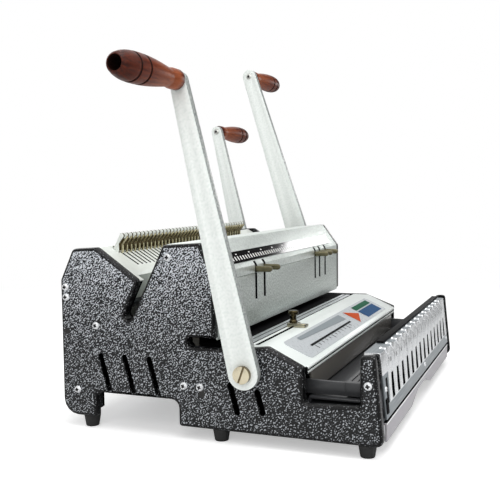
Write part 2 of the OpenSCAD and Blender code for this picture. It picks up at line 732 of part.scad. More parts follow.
module trim_rail() {
  bead = 1.7;
  v = table_v - bead - 0.1;
  color("#e4e5e6") place() across(-in_casing, in_casing) {
    translate([v, table_front_z - 0.6]) circle(bead);
    translate([v, table_front_z - 4.2]) circle(bead);
    translate([v - 0.4, table_front_z - 4.2]) square([bead + 0.5, 3.6]);
  }
}
fascia_half = in_x - 12;
module table_fascia() {
  color("#55585b") place() {
    block([-fascia_half, table_v - 2.4, trough_z + slide_gap], [fascia_half, table_v, table_front_z - 6.2]);
    block([-fascia_half, table_v - eps, table_front_z - 9], [fascia_half, table_v + 4, table_front_z - 6.2]);
  }
}
guide_base_z = paper_z - 0.2;
guide_base_h = 4;
guide_half = 6.5;
module side_guide() {
  z = guide_base_z + guide_base_h;
  stem = guide_slot_w / 2 - slide_gap;
  under = paper_z - 0.5 - table_t - slide_gap;
  color("#c8bb8e") place() {
    difference() {
      block([guide_x - guide_half, guide_slot_v - 15, guide_base_z], [guide_x + guide_half, guide_slot_v + 5, z]);
      block([guide_x - guide_half + 3, guide_slot_v - 16, z - 1.5], [guide_x + guide_half + 1, guide_slot_v - 6, z + 1]);
    }
    translate([guide_x, guide_slot_v, under - 1]) cylinder(r = stem, h = z - under + 3);
    block([guide_x - 5, guide_slot_v - 4, under - 2.5], [guide_x + 5, guide_slot_v + 4, under]);
  }
}
module guide_knob() {
  z = guide_base_z + guide_base_h + 0.1;
  bore = guide_slot_w / 2 - slide_gap + run_fit;
  color("#b39a55") place() translate([guide_x, guide_slot_v, z]) difference() {
    rotate_extrude() polygon([
      [0, 0], [4.2, 0], [4.2, 2], [3.4, 3], [3.4, 8], [5.4, 9], [5.4, 12.4], [4.6, 13.2], [0, 13.2]
    ]);
    translate([0, 0, -1]) cylinder(r = bore, h = 4);
  }
}

// Closer: trough, plate with its gussets, pad and jaw
module trough_floor() {
  path = [[post_d + 2, floor_top], [post_d + 2, trough_z], [table_v - 3, trough_z], [table_v - 3, floor_top]];
  color("#6d7073") place() across(-in_x, in_x) polygon(sheet(path, -sheet_t));
}
plate_low = floor_z - 7;
plate_top = post_h - 2;
function front_at(z) = front_lean * max(z - front_kink, 0) / (post_h - front_kink);
slot_low = trough_z - 3;
slot_high = slot_low + 23;
gusset_r = 5;
rib_r = 9;
rib_out = 2.6;
module closer_plate() {
  path = [
    [front_at(plate_low), plate_low], [front_at(plate_top), plate_top], [post_d + 1.5, plate_top],
    [post_d + 1.5, plate_top - 30]
  ];
  edge = [front_at(plate_top), plate_top];
  color("#cfd1d3") place() {
    difference() {
      across(-in_x, in_x) polygon(sheet(path, -plate_t));
      for (i = [0:closer_slots - 1])
        block(
          [-in_x + closer_first + i * closer_pitch - closer_slot_w / 2, -2, slot_low],
          [-in_x + closer_first + i * closer_pitch + closer_slot_w / 2, post_d - 4, slot_high]
        );
    }
    // On each finger an upright rib and, over the bend, a pressed gusset
    for (i = [0:closer_slots - 1]) let (x = -in_x + closer_first + (i - 0.5) * closer_pitch) {
      intersection() {
        translate([x, front_at(slot_low) + rib_r - rib_out, slot_low])
          rotate([-atan(front_lean / (post_h - front_kink)), 0, 0]) cylinder(r = rib_r, h = plate_top - slot_low);
        across(-in_x, in_x) polygon([
          [front_at(slot_low) + plate_t, slot_low], [front_at(slot_low), slot_low],
          [front_at(slot_low + 4) - rib_out, slot_low + 4], [front_at(plate_top - 9) - rib_out, plate_top - 9],
          [front_at(plate_top - 2), plate_top - 2], [front_at(plate_top - 2) + plate_t, plate_top - 2]
        ]);
      }
      intersection() {
        translate([x, edge[0] + 7, edge[1] - 7])
          rotate([45, 0, 0]) translate([0, 0, -14]) cylinder(r = gusset_r, h = 28);
        across(-in_x, in_x) polygon([
          edge + [0, -22], edge + [-2.2, -20], edge + [-2.2, -5], edge + [0, 1.6], edge + [7, 1.6], edge + [9, 0],
          edge + [9, -plate_t], edge + [plate_t, -plate_t], edge + [plate_t - 2, -22]
        ]);
      }
    }
  }
}
pad_from = -in_x + 48;
module closer_pad() {
  color("#151515") place() block([pad_from, post_d - 5.5, plate_top], [in_x, post_d + 1.5, plate_top + 2]);
}
panel_cut_x = -9;
module lower_front_panel() {
  z0 = foot_h - 1;
  z1 = floor_z - 10;
  path = [[1.2, z0], [1.2, z1], [floor_front + sheet_t, z1]];
  color("#b7b6bb") place() difference() {
    across(-in_x, in_x) polygon(sheet(path, -sheet_t));
    translate([panel_cut_x, 5, z0 - eps]) rotate([90, 0, 0]) linear_extrude(6)
      polygon([[-60, -1], [-60, 0], [-22, 10], [22, 10], [60, 0], [60, -1]]);
  }
}
jaw_plate_t = 4;
jaw_plate_x = in_x - 6;
jaw_low = trough_z + 1.5;
jaw_v = post_d + 5.7;
module closer_jaw() {
  color("#8b8e92") place() difference() {
    block([-jaw_plate_x, jaw_v, jaw_low], [jaw_plate_x, jaw_v + jaw_d, jaw_low + jaw_h]);
    for (v = [jaw_v + 4, jaw_v + jaw_d - 5])
      block([-jaw_plate_x + 8, v, jaw_low + jaw_h - 1.5], [jaw_plate_x - 8, v + 1.5, jaw_low + jaw_h + 1]);
  }
}
// Side links of the jaw, each with an upright slot for its crank roller
module jaw_links() {
  pin = closer_pivot + polar(closer_crank, closer_crank_a);
  prong = 6;
  slot = roller_r + play;
  prong_top = closer_pivot[1] - shaft_r - 1;
  low = floor_top + 2;
  lowest_pin = closer_pivot[1] - closer_crank;
  front = jaw_v + jaw_d + eps;
  color("#2c2d2e") place() both_sides() across(-jaw_plate_x, -jaw_plate_x + jaw_plate_t) difference() {
    polygon([
      [front, jaw_low], [pin[0] - slot - prong - 8, jaw_low], [pin[0] - slot - prong, low],
      [pin[0] + slot + prong, low], [pin[0] + slot + prong, prong_top], [pin[0] - slot - prong, prong_top],
      [front + 12, jaw_low + jaw_h], [front, jaw_low + jaw_h]
    ]);
    translate([pin[0] - slot, lowest_pin - slot]) square([2 * slot, 40]);
  }
}

// Opener: slotted plate, fixed teeth, moving hooks
plate_2d_t = 1.4;
lip_u = 41;
end_u = 49;
end_w = 12;
module opener_plate() {
  lip = on_slope(lip_u, 0);
  path = [on_slope(-11, 0), lip, lip + 28 * [sin(wall_lean), -cos(wall_lean)]];
  gap = 0.7;
  color("#e6e7e4") place() {
    difference() {
      across(-cover_x, cover_x) polygon(sheet(path, plate_2d_t));
      for (s = [-1, 1]) across(s * (in_x + cover_x) / 2 - (cover_x - in_x) / 2 - 1, s * (in_x + cover_x) / 2 + (cover_x - in_x) / 2 + 1)
        polygon([lip + [-5, -1.8], lip + [30, -1.8], lip + [30, -40], lip + [-5, -40]]);
      for (i = [0:hook_count - 1])
        across(hook_first + i * pitch - hook_t / 2 - gap, hook_first + i * pitch + hook_t / 2 + gap)
          polygon([on_slope(0, 2), on_slope(0, -4), on_slope(opener_slot_l, -4), on_slope(opener_slot_l, 2)]);
    }
    both_sides() slope_box(-cover_x, -cover_x + end_w, lip_u - 2, end_u, -plate_2d_t, 0);
  }
}
module opener_comb() {
  tooth = [
    on_slope(-5.6, 0), on_slope(1.6, 0), on_slope(1.4, 1.6), on_slope(-2.8, 8), on_slope(-1.7, 17.4),
    on_slope(-2.7, 19.2), on_slope(-5.2, 19.5), on_slope(-6.8, 18.2), on_slope(-6, 6)
  ];
  color("#eceae2") place() {
    across(hook_first - pitch / 2, hook_first + (hook_count - 0.5) * pitch)
      polygon([on_slope(-9, 0), on_slope(-2.2, 0), on_slope(-2.6, 1.4), on_slope(-9, 1.4)]);
    for (i = [0:hook_count]) let (x = hook_first + (i - 0.5) * pitch)
      across(x - tooth_t / 2, x + tooth_t / 2) polygon(tooth);
  }
}
bar_top = -plate_2d_t - 4;
bar_h = 6;
bar_from = -8;
bar_to = 10;
rail_gap = slide_gap;
bar_half = in_x - 7;
module slope_box(x0, x1, u0, u1, n0, n1) {
  across(x0, x1) polygon([on_slope(u0, n0), on_slope(u1, n0), on_slope(u1, n1), on_slope(u0, n1)]);
}
module hook_rails() {
  n1 = bar_top - bar_h - rail_gap;
  color("#8d9196") place() both_sides()
    slope_box(-in_x, -in_x + 16, bar_from - 2, bar_to + opener_stroke + 2, n1 - 3, n1);
}
yoke_x = in_x - 30;
yoke_t = 6;
hook_roller_r = 4;
module hook_bar() {
  pin = turned(opener_pivot + polar(opener_crank, opener_crank_a) - slot_head, -opener_slope);
  u = -pin[0];
  slot = hook_roller_r + play;
  low = pin[1] - 1.5;
  color("#7c8086") place() {
    slope_box(-bar_half, bar_half, bar_from, bar_to, bar_top - bar_h, bar_top);
    both_sides() difference() {
      slope_box(-yoke_x - yoke_t / 2, -yoke_x + yoke_t / 2, u - slot - 3, u + slot + 3, low, bar_top - bar_h + eps);
      slope_box(-yoke_x - yoke_t, -yoke_x + yoke_t, u - slot, u + slot, low - 1, pin[1] + slot + 4);
    }
  }
}
module opener_hooks() {
  band = 2.2;
  path = [on_slope(1.2, bar_top), on_slope(1.2, 1.2), on_slope(-2.3, 7.4), on_slope(-0.9, 18.4)];
  color("#8a7f4e") place() for (i = [0:hook_count - 1]) let (x = hook_first + i * pitch)
    across(x - hook_t / 2, x + hook_t / 2) polygon(sheet(path, band));
}

// Drawer for the punched chips, pulled out at the rear
module chip_tray() {
  wall = 1.6;
  z0 = floor_top + slide_gap;
  rear = body_d - sheet_t - 1;
  color("#5b5e61") place() {
    difference() {
      block([-tray_half, tray_front, z0], [tray_half, rear, tray_z]);
      block([-tray_half + wall, tray_front + wall, z0 + wall], [tray_half - wall, rear - wall, tray_z + 1]);
    }
    block([-40, rear - eps, tray_z - 6], [40, body_d - slide_gap, tray_z - 3]);
  }
}

left_side_casing();
right_side_casing();
left_frame_plate();
right_frame_plate();
base_plate();
rear_cover();
rubber_feet();
casing_screws();
shaft_bushes();
die_block();
pin_guide_plate();
paper_stop();
ram_guide_posts();
punch_front_plate();
punch_top_cover();
punch_rear_wall();
scale_strip();
punch_ram();
punch_pins();
pull_tab_1();
pull_tab_2();
pull_tab_3();
pull_tab_4();
pull_tab_5();
punch_shaft();
punch_arm();
punch_pivot_screw();
punch_grip();
punch_grip_bolt();
table_top();
label_panel();
trim_rail();
table_fascia();
side_guide();
guide_knob();
trough_floor();
closer_plate();
closer_pad();
lower_front_panel();
closer_jaw();
jaw_links();
closer_shaft();
closer_arm();
closer_pivot_screw();
closer_grip();
closer_grip_bolt();
opener_plate();
opener_comb();
hook_rails();
hook_bar();
opener_hooks();
opener_shaft();
opener_arm();
opener_pivot_screw();
opener_grip();
opener_grip_bolt();
chip_tray();
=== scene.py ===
import json
import math

import bmesh
import bpy
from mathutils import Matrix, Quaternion, Vector


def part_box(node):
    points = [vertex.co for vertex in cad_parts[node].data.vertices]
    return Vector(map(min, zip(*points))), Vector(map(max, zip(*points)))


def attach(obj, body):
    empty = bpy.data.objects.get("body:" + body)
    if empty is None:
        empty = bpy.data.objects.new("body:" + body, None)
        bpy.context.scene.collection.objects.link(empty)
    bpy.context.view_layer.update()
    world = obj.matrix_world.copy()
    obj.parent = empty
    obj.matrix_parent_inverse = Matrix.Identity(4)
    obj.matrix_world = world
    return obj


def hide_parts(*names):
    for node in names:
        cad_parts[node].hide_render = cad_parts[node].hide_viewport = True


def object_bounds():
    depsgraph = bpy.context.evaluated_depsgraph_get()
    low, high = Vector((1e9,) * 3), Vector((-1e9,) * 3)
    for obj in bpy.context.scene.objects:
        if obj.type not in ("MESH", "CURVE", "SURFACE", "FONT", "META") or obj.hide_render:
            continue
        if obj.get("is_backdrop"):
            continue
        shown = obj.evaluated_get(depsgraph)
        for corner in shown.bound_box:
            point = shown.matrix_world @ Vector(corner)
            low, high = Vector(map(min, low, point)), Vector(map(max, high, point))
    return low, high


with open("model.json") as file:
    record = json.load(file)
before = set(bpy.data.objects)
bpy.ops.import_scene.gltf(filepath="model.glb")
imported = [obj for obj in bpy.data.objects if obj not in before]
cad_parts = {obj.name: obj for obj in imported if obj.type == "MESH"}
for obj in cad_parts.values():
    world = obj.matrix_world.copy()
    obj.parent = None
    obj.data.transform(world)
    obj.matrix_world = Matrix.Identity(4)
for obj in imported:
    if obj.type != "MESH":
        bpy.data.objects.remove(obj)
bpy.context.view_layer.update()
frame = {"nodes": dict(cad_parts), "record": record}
MM = 0.001

# Camera
# Stands off the left end of the machine, a little higher than the punch box, and looks slightly
# down along its length.
scene = bpy.context.scene
camera_place = Vector((-875.3, -326.0, 231.9)) * MM
camera_aim = Vector((0.9253, 0.3723, -0.0720))
camera_roll = math.radians(-0.67)
photo_side_px, focal_px, sensor_mm = 500, 780, 36
camera_data = bpy.data.cameras.new("camera")
camera_data.sensor_width = sensor_mm
camera_data.lens = sensor_mm * focal_px / photo_side_px
camera = bpy.data.objects.new("camera", camera_data)
camera.location = camera_place
camera.rotation_mode = "QUATERNION"
camera.rotation_quaternion = camera_aim.to_track_quat("-Z", "Y") @ Quaternion((0, 0, 1), camera_roll)
scene.collection.objects.link(camera)
scene.camera = camera
scene.view_settings.view_transform = "Standard"


# Studio
# A white paper sweep to stand on, a room that is bright overhead and greyer at eye level, with
# a black flag on the right, and soft boxes over the machine, round it and low on the right.
def linear(hex_code):
    """An sRGB hex colour as the linear colour that Blender takes."""
    parts = [int(hex_code[i:i + 2], 16) / 255 for i in (1, 3, 5)]
    return [c / 12.92 if c <= 0.04045 else ((c + 0.055) / 1.055) ** 2.4 for c in parts] + [1.0]


def add(tree, kind, settings=None, **links):
    """One node with its settings; each link is an input's name, with a socket or a value for it."""
    made = tree.nodes.new(kind)
    for key, value in (settings or {}).items():
        setattr(made, key, value)
    for key, value in links.items():
        place = int(key[1:]) if key[0] == "_" else key.rstrip("_").replace("_", " ")
        if isinstance(value, bpy.types.NodeSocket):
            tree.links.new(value, made.inputs[place])
        else:
            made.inputs[place].default_value = value
    return made


def maths(tree, operation, *values):
    """The result of a maths node on two or three sockets or values."""
    inputs = {"_%d" % i: value for i, value in enumerate(values)}
    return add(tree, "ShaderNodeMath", {"operation": operation}, **inputs).outputs[0]


def add_object(name, mesh):
    """An object in the scene that shows a mesh."""
    made = bpy.data.objects.new(name, mesh)
    scene.collection.objects.link(made)
    return made


# Matt white that takes a soft shadow near the machine and fades to pure white further out
paper = bpy.data.materials.new("white paper sweep")
paper.use_nodes = True
tree = paper.node_tree
tree.nodes.clear()
shadow_room, sweep_start = 0.55, 1.2
paper_glow = 0.42
to_camera = add(tree, "ShaderNodeLightPath").outputs["Is Camera Ray"]
matt = add(tree, "ShaderNodeBsdfDiffuse", Color=linear("#f4f4f4"))
lift = maths(tree, "MULTIPLY", to_camera, paper_glow)
glow = add(tree, "ShaderNodeEmission", Color=linear("#ffffff"), Strength=lift)
near = add(tree, "ShaderNodeAddShader", _0=matt.outputs[0], _1=glow.outputs[0])
spot = add(tree, "ShaderNodeTexCoord")
reach = add(tree, "ShaderNodeVectorMath", {"operation": "LENGTH"}, _0=spot.outputs["Object"])
fade = add(
    tree, "ShaderNodeMapRange", {"interpolation_type": "SMOOTHSTEP"},
    Value=reach.outputs["Value"], From_Min=shadow_room, From_Max=sweep_start,
)
share = maths(tree, "MULTIPLY", fade.outputs[0], to_camera)
far = add(tree, "ShaderNodeEmission", Color=linear("#ffffff"), Strength=1.0)
both = add(tree, "ShaderNodeMixShader", _0=share, _1=near.outputs[0], _2=far.outputs[0])
add(tree, "ShaderNodeOutputMaterial", Surface=both.outputs[0])
floor_half = 6.0
floor_corners = [(x * floor_half, y * floor_half, 0) for x, y in ((-1, -1), (1, -1), (1, 1), (-1, 1))]
floor_mesh = bpy.data.meshes.new("floor")
floor_mesh.from_pydata(floor_corners, [], [(0, 1, 2, 3)])
floor_mesh.materials.append(paper)
floor = add_object("floor", floor_mesh)
floor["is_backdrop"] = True

room = bpy.data.worlds.new("white room")
scene.world = room
room.use_nodes = True
tree = room.node_tree
tree.nodes.clear()
eye_level, overhead, overhead_from = 0.34, 1.0, 0.30
fill = 0.36
flag_aim = (0.922, -0.200, 0.330)
flag_level = 0.05
flag_edge, flag_heart = math.cos(math.radians(20)), math.cos(math.radians(11))
rays = add(tree, "ShaderNodeLightPath")
glossy = rays.outputs["Is Glossy Ray"]
view = add(tree, "ShaderNodeTexCoord").outputs["Generated"]
view_parts = add(tree, "ShaderNodeSeparateXYZ", Vector=view)
wall = add(
    tree, "ShaderNodeMapRange", {"interpolation_type": "SMOOTHSTEP"},
    Value=view_parts.outputs["Z"], From_Min=0.0, From_Max=overhead_from, To_Min=eye_level, To_Max=overhead,
)
toward = add(tree, "ShaderNodeVectorMath", {"operation": "DOT_PRODUCT"}, _0=view, _1=flag_aim)
flagged = add(
    tree, "ShaderNodeMapRange", {"interpolation_type": "SMOOTHSTEP"},
    Value=toward.outputs["Value"], From_Min=flag_edge, From_Max=flag_heart, To_Min=1.0, To_Max=flag_level,
)
shaded = maths(tree, "MULTIPLY", wall.outputs[0], flagged.outputs[0])
mirrored = maths(tree, "MULTIPLY", glossy, shaded)
soft = maths(tree, "MULTIPLY", maths(tree, "SUBTRACT", 1.0, glossy), fill)
shown = maths(tree, "ADD", mirrored, soft)
direct = maths(tree, "MAXIMUM", rays.outputs["Is Camera Ray"], rays.outputs["Is Transmission Ray"])
level = maths(tree, "MAXIMUM", shown, direct)
sky = add(tree, "ShaderNodeBackground", Color=linear("#ffffff"), Strength=level)
add(tree, "ShaderNodeOutputWorld", Surface=sky.outputs[0])


def soft_box(name, place, aim, width, power, height=None):
    """An area lamp of a studio, square unless a height is given, aimed at a point."""
    data = bpy.data.lights.new(name, "AREA")
    data.shape = "RECTANGLE"
    data.size = width
    data.size_y = height or width
    data.energy = power
    lamp = bpy.data.objects.new(name, data)
    lamp.location = place
    lamp.rotation_mode = "QUATERNION"
    lamp.rotation_quaternion = (Vector(aim) - Vector(place)).to_track_quat("-Z", "Y")
    scene.collection.objects.link(lamp)
    lamp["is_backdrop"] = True


machine_middle = (0, 0, 0.12)
soft_box("lamp_over", (-0.5, -0.4, 1.9), machine_middle, width=1.4, power=19)
soft_box("lamp_left", (-1.5, -0.2, 0.9), (-0.2, 0, 0.2), width=1.0, power=7)
soft_box("lamp_front", (-0.5, -1.9, 0.9), machine_middle, width=1.2, power=7)
soft_box("lamp_back", (0.9, 1.4, 1.3), machine_middle, width=1.0, power=7)
soft_box("lamp_right", (1.5, -0.25, 0.53), (0.05, -0.02, 0.17), width=0.24, power=1.0, height=0.20)


# Side casings
# Two folded steel housings, one at each end, with the paper throat and the rear slot cut
# through and slanted louvres in the face. Their outer edges are rolled over, and they are
# sprayed with hammer-finish enamel; the rolled edges and sides are painted near black as shade.
def finish_of(name, colour, roughness, metallic=0.0, **more):
    """A material with its principled shader; more are further sockets of the shader."""
    made = bpy.data.materials.new(name)
    made.use_nodes = True
    made.node_tree.nodes.clear()
    shader = add(
        made.node_tree, "ShaderNodeBsdfPrincipled", None,
        Base_Color=linear(colour), Roughness=roughness, Metallic=metallic, **more,
    )
    add(made.node_tree, "ShaderNodeOutputMaterial", Surface=shader.outputs[0])
    return made, made.node_tree, shader


def places(tree, stretch=(1, 1, 1), turn=(0, 0, 0)):
    """Object coordinates in metres, stretched along the axes and turned."""
    coordinates = add(tree, "ShaderNodeTexCoord")
    turned = add(
        tree, "ShaderNodeMapping", None, Vector=coordinates.outputs["Object"], Scale=stretch, Rotation=turn
    )
    return turned.outputs[0]


def ramp(tree, value, *stops):
    """A colour ramp through stops of place and hex colour."""
    made = add(tree, "ShaderNodeValToRGB", None, Fac=value)
    band = made.color_ramp
    while len(band.elements) < len(stops):
        band.elements.new(0.5)
    for element, (place, colour) in zip(band.elements, stops):
        element.position = place
        element.color = linear(colour)
    return made.outputs["Color"]


def relief(tree, shader, height, depth_mm, strength=1.0):
    """Bump of a height map on a shader, its depth in millimetres."""
    made = add(tree, "ShaderNodeBump", None, Height=height, Distance=depth_mm * MM, Strength=strength)
    tree.links.new(made.outputs[0], shader.inputs["Normal"])


def hammer_enamel(name, cell_mm, tones, roughness, depth_mm, coat=0.25, light_share=0.0, **more):
    """Hammer-finish enamel, whose paint draws up into worm-like cells; tones run from the rims to
    the cells. A light share paints light and shade into it: the cells grow wider and paler to the top, as
    painted light, and narrower to the front, as painted shade."""
    coat_roughness, waves, off_axes = 0.15, 1.5, (0.6, 0.9, 0.4)
    low_z, high_z, front_y, rear_y = 40 * MM, 170 * MM, -95 * MM, -45 * MM
    front_shade_loss, top_light_gain = -0.35, 5.5
    made, tree, shader = finish_of(
        name, tones[1][1], roughness, Coat_Weight=coat, Coat_Roughness=coat_roughness, **more
    )
    cells = add(
        tree, "ShaderNodeTexGabor", {"gabor_type": "3D"},
        Vector=places(tree, turn=off_axes), Scale=1 / (waves * cell_mm * MM), Frequency=waves, Anisotropy=0.0,
    ).outputs["Value"]
    spot = add(tree, "ShaderNodeSeparateXYZ", Vector=places(tree))
    # Painted light: paler, wider cells to the top; painted shade: narrower cells to the front
    rise = add(tree, "ShaderNodeMapRange", Value=spot.outputs["Z"], From_Min=low_z, From_Max=high_z)
    upper = maths(tree, "POWER", rise.outputs[0], 2.0)
    front = add(
        tree, "ShaderNodeMapRange", Value=spot.outputs["Y"],
        From_Min=front_y, From_Max=rear_y, To_Min=front_shade_loss, To_Max=0.0,
    )
    width = maths(tree, "MULTIPLY_ADD", maths(tree, "ADD", upper, front.outputs[0]), light_share, cells)
    light_gain = maths(tree, "MULTIPLY_ADD", upper, top_light_gain * light_share, 1.0)
    toned = add(
        tree, "ShaderNodeVectorMath", {"operation": "SCALE"}, _0=ramp(tree, width, *tones), Scale=light_gain
    )
    tree.links.new(toned.outputs[0], shader.inputs["Base Color"])
    relief(tree, shader, cells, depth_mm)
    return made


body_of = {node: body for body, nodes in frame["record"]["behaviour"]["bodies"].items() for node in nodes}


def stands_for(piece, node):
    """The piece moves with a CAD node's body and is shown in its place."""
    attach(piece, body_of[node])
    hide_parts(node)


def smooth(mesh, sharp_deg=32):
    """Smooth shading, apart from edges sharper than an angle."""
    mesh.polygons.foreach_set("use_smooth", [True] * len(mesh.polygons))
    mesh.set_sharp_from_angle(angle=math.radians(sharp_deg))


def merged(node):
    """A CAD piece's mesh to work on, with its seams merged."""
    seam = 0.001 * MM
    shape = bmesh.new()
    shape.from_mesh(frame["nodes"][node].data)
    bmesh.ops.remove_doubles(shape, verts=shape.verts, dist=seam)
    shape.verts.index_update()
    return shape


def second_finish(piece, finish, chosen):
    """Gives a piece a second finish on the faces chosen by their normal and middle."""
    piece.data.materials.append(finish)
    last = len(piece.data.materials) - 1
    for face in piece.data.polygons:
        if chosen(face.normal, face.center):
            face.material_index = last


def outline_of(shape, faces):
    """The longest loop of vertices round a set of faces, in order."""
    beside = {}
    for edge in shape.edges:
        if sum(face in faces for face in edge.link_faces) == 1:
            for one, other in (edge.verts, reversed(edge.verts)):
                beside.setdefault(one, []).append(other)
    loops = []
    while beside:
        start = next(iter(beside))
        loop, here = [], start
        while here in beside:
            loop.append(here)
            onward = [v for v in beside.pop(here) if v in beside]
            here = onward[0] if onward else None
        loops.append(loop)
    return max(loops, key=len)


def rolled_casing(node, radius, steps, finish, edge_finish, rim_shifts):
    """A casing whose outer face rolls over to its sides with a radius, the roll and the sides in a second
    finish of painted shade; shifts, in millimetres, move corners of its rim elsewhere."""
    rim_depth, corner_reach, on_face, off_face = 8.1 * MM, 3 * MM, 0.01 * MM, 0.1 * MM
    square_on = 0.99
    shape = merged(node)
    low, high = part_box(node)
    side = -1 if low.x + high.x < 0 else 1
    face_x = low.x if side < 0 else high.x
    rim = [v for v in shape.verts if abs(v.co.x - face_x) < rim_depth]
    for (corner_y, corner_z), (dy, dz) in rim_shifts:
        for v in rim:
            if math.hypot(v.co.y - corner_y * MM, v.co.z - corner_z * MM) < corner_reach:
                v.co += Vector((0, dy, dz)) * MM
    face = {
        f for f in shape.faces
        if f.normal.x * side > square_on and abs(f.calc_center_median().x - face_x) < on_face
    }
    loop = outline_of(shape, face)
    flat = [Vector((v.co.y, v.co.z)) for v in loop]
    count = len(flat)
    turn = sum(flat[i - 1].cross(flat[i]) for i in range(count))
    inward = []
    for i in range(count):
        before = (flat[i] - flat[i - 1]).normalized()
        after = (flat[(i + 1) % count] - flat[i]).normalized()
        sides = [Vector((-d.y, d.x)) * math.copysign(1, turn) for d in (before, after)]
        inward.append((sides[0] + sides[1]) / (1 + sides[0].dot(sides[1])))
    points = [v.co.copy() for v in shape.verts]
    rings = []
    for k in range(steps + 1):
        angle = math.pi / 2 * k / steps
        inset, drop = radius * (1 - math.cos(angle)), radius * (1 - math.sin(angle))
        rings.append({v.index: len(points) + i for i, v in enumerate(loop)})
        for p, n in zip(flat, inward):
            points.append(Vector((face_x - side * drop, p.x + n.x * inset, p.y + n.y * inset)))
    polygons = []
    for f in shape.faces:
        ring = rings[-1] if f in face else rings[0]
        polygons.append([ring.get(v.index, v.index) for v in f.verts])
    for lower, upper in zip(rings, rings[1:]):
        for a, b in zip(loop, loop[1:] + loop[:1]):
            polygons.append([lower[a.index], lower[b.index], upper[b.index], upper[a.index]])
    shape.free()
    mesh = bpy.data.meshes.new(node + "_rolled")
    mesh.from_pydata(points, [], polygons)
    tidy = bmesh.new()
    tidy.from_mesh(mesh)
    bmesh.ops.delete(tidy, geom=[v for v in tidy.verts if not v.link_faces], context="VERTS")
    bmesh.ops.recalc_face_normals(tidy, faces=tidy.faces)
    tidy.to_mesh(mesh)
    tidy.free()
    piece = add_object(node + "_rolled", mesh)
    mesh.materials.append(finish)
    second_finish(piece, edge_finish, lambda n, c: abs(c.x - face_x) > off_face)
    smooth(mesh)
    stands_for(piece, node)


# Light grey cells on near black, about 2 mm apart, paler to the top as painted light and darker to the front
# as painted shade; near black with almost no cells on the rolled edges, as painted shade
casing_tones = (0.45, "#040506"), (0.54, "#191b1e"), (0.65, "#b4b8bd")
casing_enamel = hammer_enamel(
    "charcoal hammer enamel", 1.85, casing_tones, roughness=0.36, depth_mm=0.12, coat=0.08, light_share=0.08,
    Specular_IOR_Level=0.32,
)
# Near black with few cells on the rolled edges and sides, as painted shade
edge_shade_tones = (0.50, "#040405"), (0.62, "#0b0b0c"), (0.76, "#8d9093")
edge_shade_enamel = hammer_enamel(
    "charcoal hammer enamel, thin at the edge", 2.0, edge_shade_tones, roughness=0.30, depth_mm=0.05, coat=0.0,
    Specular_IOR_Level=0.2,
)
# Corners of the rim as y and z, and how far they are drawn from there: the left rim stands over the
# end of the table, and the right one lies almost level with it
box_corner, table_bend = (-7.1, 186.0), (-69.0, 91.4)
table_lip, trough_heel = (-108.0, 74.6), (-110.9, 48.0)
left_shifts = (
    (box_corner, (-6.0, 0.0)), (table_bend, (-10.7, 1.6)),
    (table_lip, (-4.7, 1.7)), (trough_heel, (-5.1, -1.3)),
)
right_shifts = (table_bend, (0.0, -2.2)), (table_lip, (0.0, -1.0))
roll_radius, roll_steps = 3 * MM, 4
for node, shifts in (("left_side_casing", left_shifts), ("right_side_casing", right_shifts)):
    rolled_casing(node, roll_radius, roll_steps, casing_enamel, edge_shade_enamel, shifts)


# Casing screws
# Pan head screws with a cross recess, zinc plated and with painted shade in the recess, in the faces of both
# casings. Two more holes of each casing hold no screw; a flat dark disc of painted shade lies in each. One
# node tree makes all heads with a cross recess.
def plain_mesh(piece):
    """The piece's mesh with its modifiers worked in, and the modifiers removed."""
    evaluated = piece.evaluated_get(bpy.context.evaluated_depsgraph_get())
    mesh = bpy.data.meshes.new_from_object(evaluated)
    piece.modifiers.clear()
    piece.data = mesh
    return mesh


def new_tree(name, **sockets):
    """A geometry node tree with named inputs, given by their socket types."""
    made = bpy.data.node_groups.new(name, "GeometryNodeTree")
    made.interface.new_socket("Geometry", in_out="OUTPUT", socket_type="NodeSocketGeometry")
    made.interface.new_socket("Geometry", in_out="INPUT", socket_type="NodeSocketGeometry")
    for key, kind in sockets.items():
        made.interface.new_socket(key.replace("_", " "), in_out="INPUT", socket_type="NodeSocket" + kind)
    return made, add(made, "NodeGroupInput").outputs


def grown(name, tree, start=None, **values):
    """A piece grown by a geometry node tree from a start mesh, and made a plain mesh."""
    piece = add_object(name, start or bpy.data.meshes.new(name))
    growth = piece.modifiers.new(tree.name, "NODES")
    growth.node_group = tree
    for socket in tree.interface.items_tree:
        key = socket.name.replace(" ", "_")
        if socket.in_out == "INPUT" and key in values:
            growth[socket.identifier] = values[key]
    mesh = plain_mesh(piece)
    worn = [face.material_index for face in mesh.polygons]
    used = sorted(set(worn))
    finishes = [mesh.materials[index] for index in used]
    mesh.materials.clear()
    for finish in finishes:
        mesh.materials.append(finish)
    mesh.polygons.foreach_set("material_index", [used.index(index) for index in worn])
    smooth(mesh)
    return piece


def lumps(node):
    """The corners of each separate solid in a CAD piece."""
    shape = merged(node)
    left, found = set(shape.verts), []
    while left:
        spread, lump = [left.pop()], []
        while spread:
            here = spread.pop()
            lump.append(here.co.copy())
            beside = {edge.other_vert(here) for edge in here.link_edges} & left
            left -= beside
            spread.extend(beside)
        found.append(lump)
    shape.free()
    return found


def noise(tree, size_mm, detail, stretch=(1, 1, 1), **more):
    """A noise texture's value, with lumps of a size in millimetres."""
    made = add(
        tree, "ShaderNodeTexNoise", None,
        Vector=places(tree, stretch), Scale=1 / (size_mm * MM), Detail=detail, **more,
    )
    return made.outputs["Fac"]


def tint(tree, shader, value, *stops):
    """Colours a shader by a value, through stops of place and hex colour."""
    tree.links.new(ramp(tree, value, *stops), shader.inputs["Base Color"])


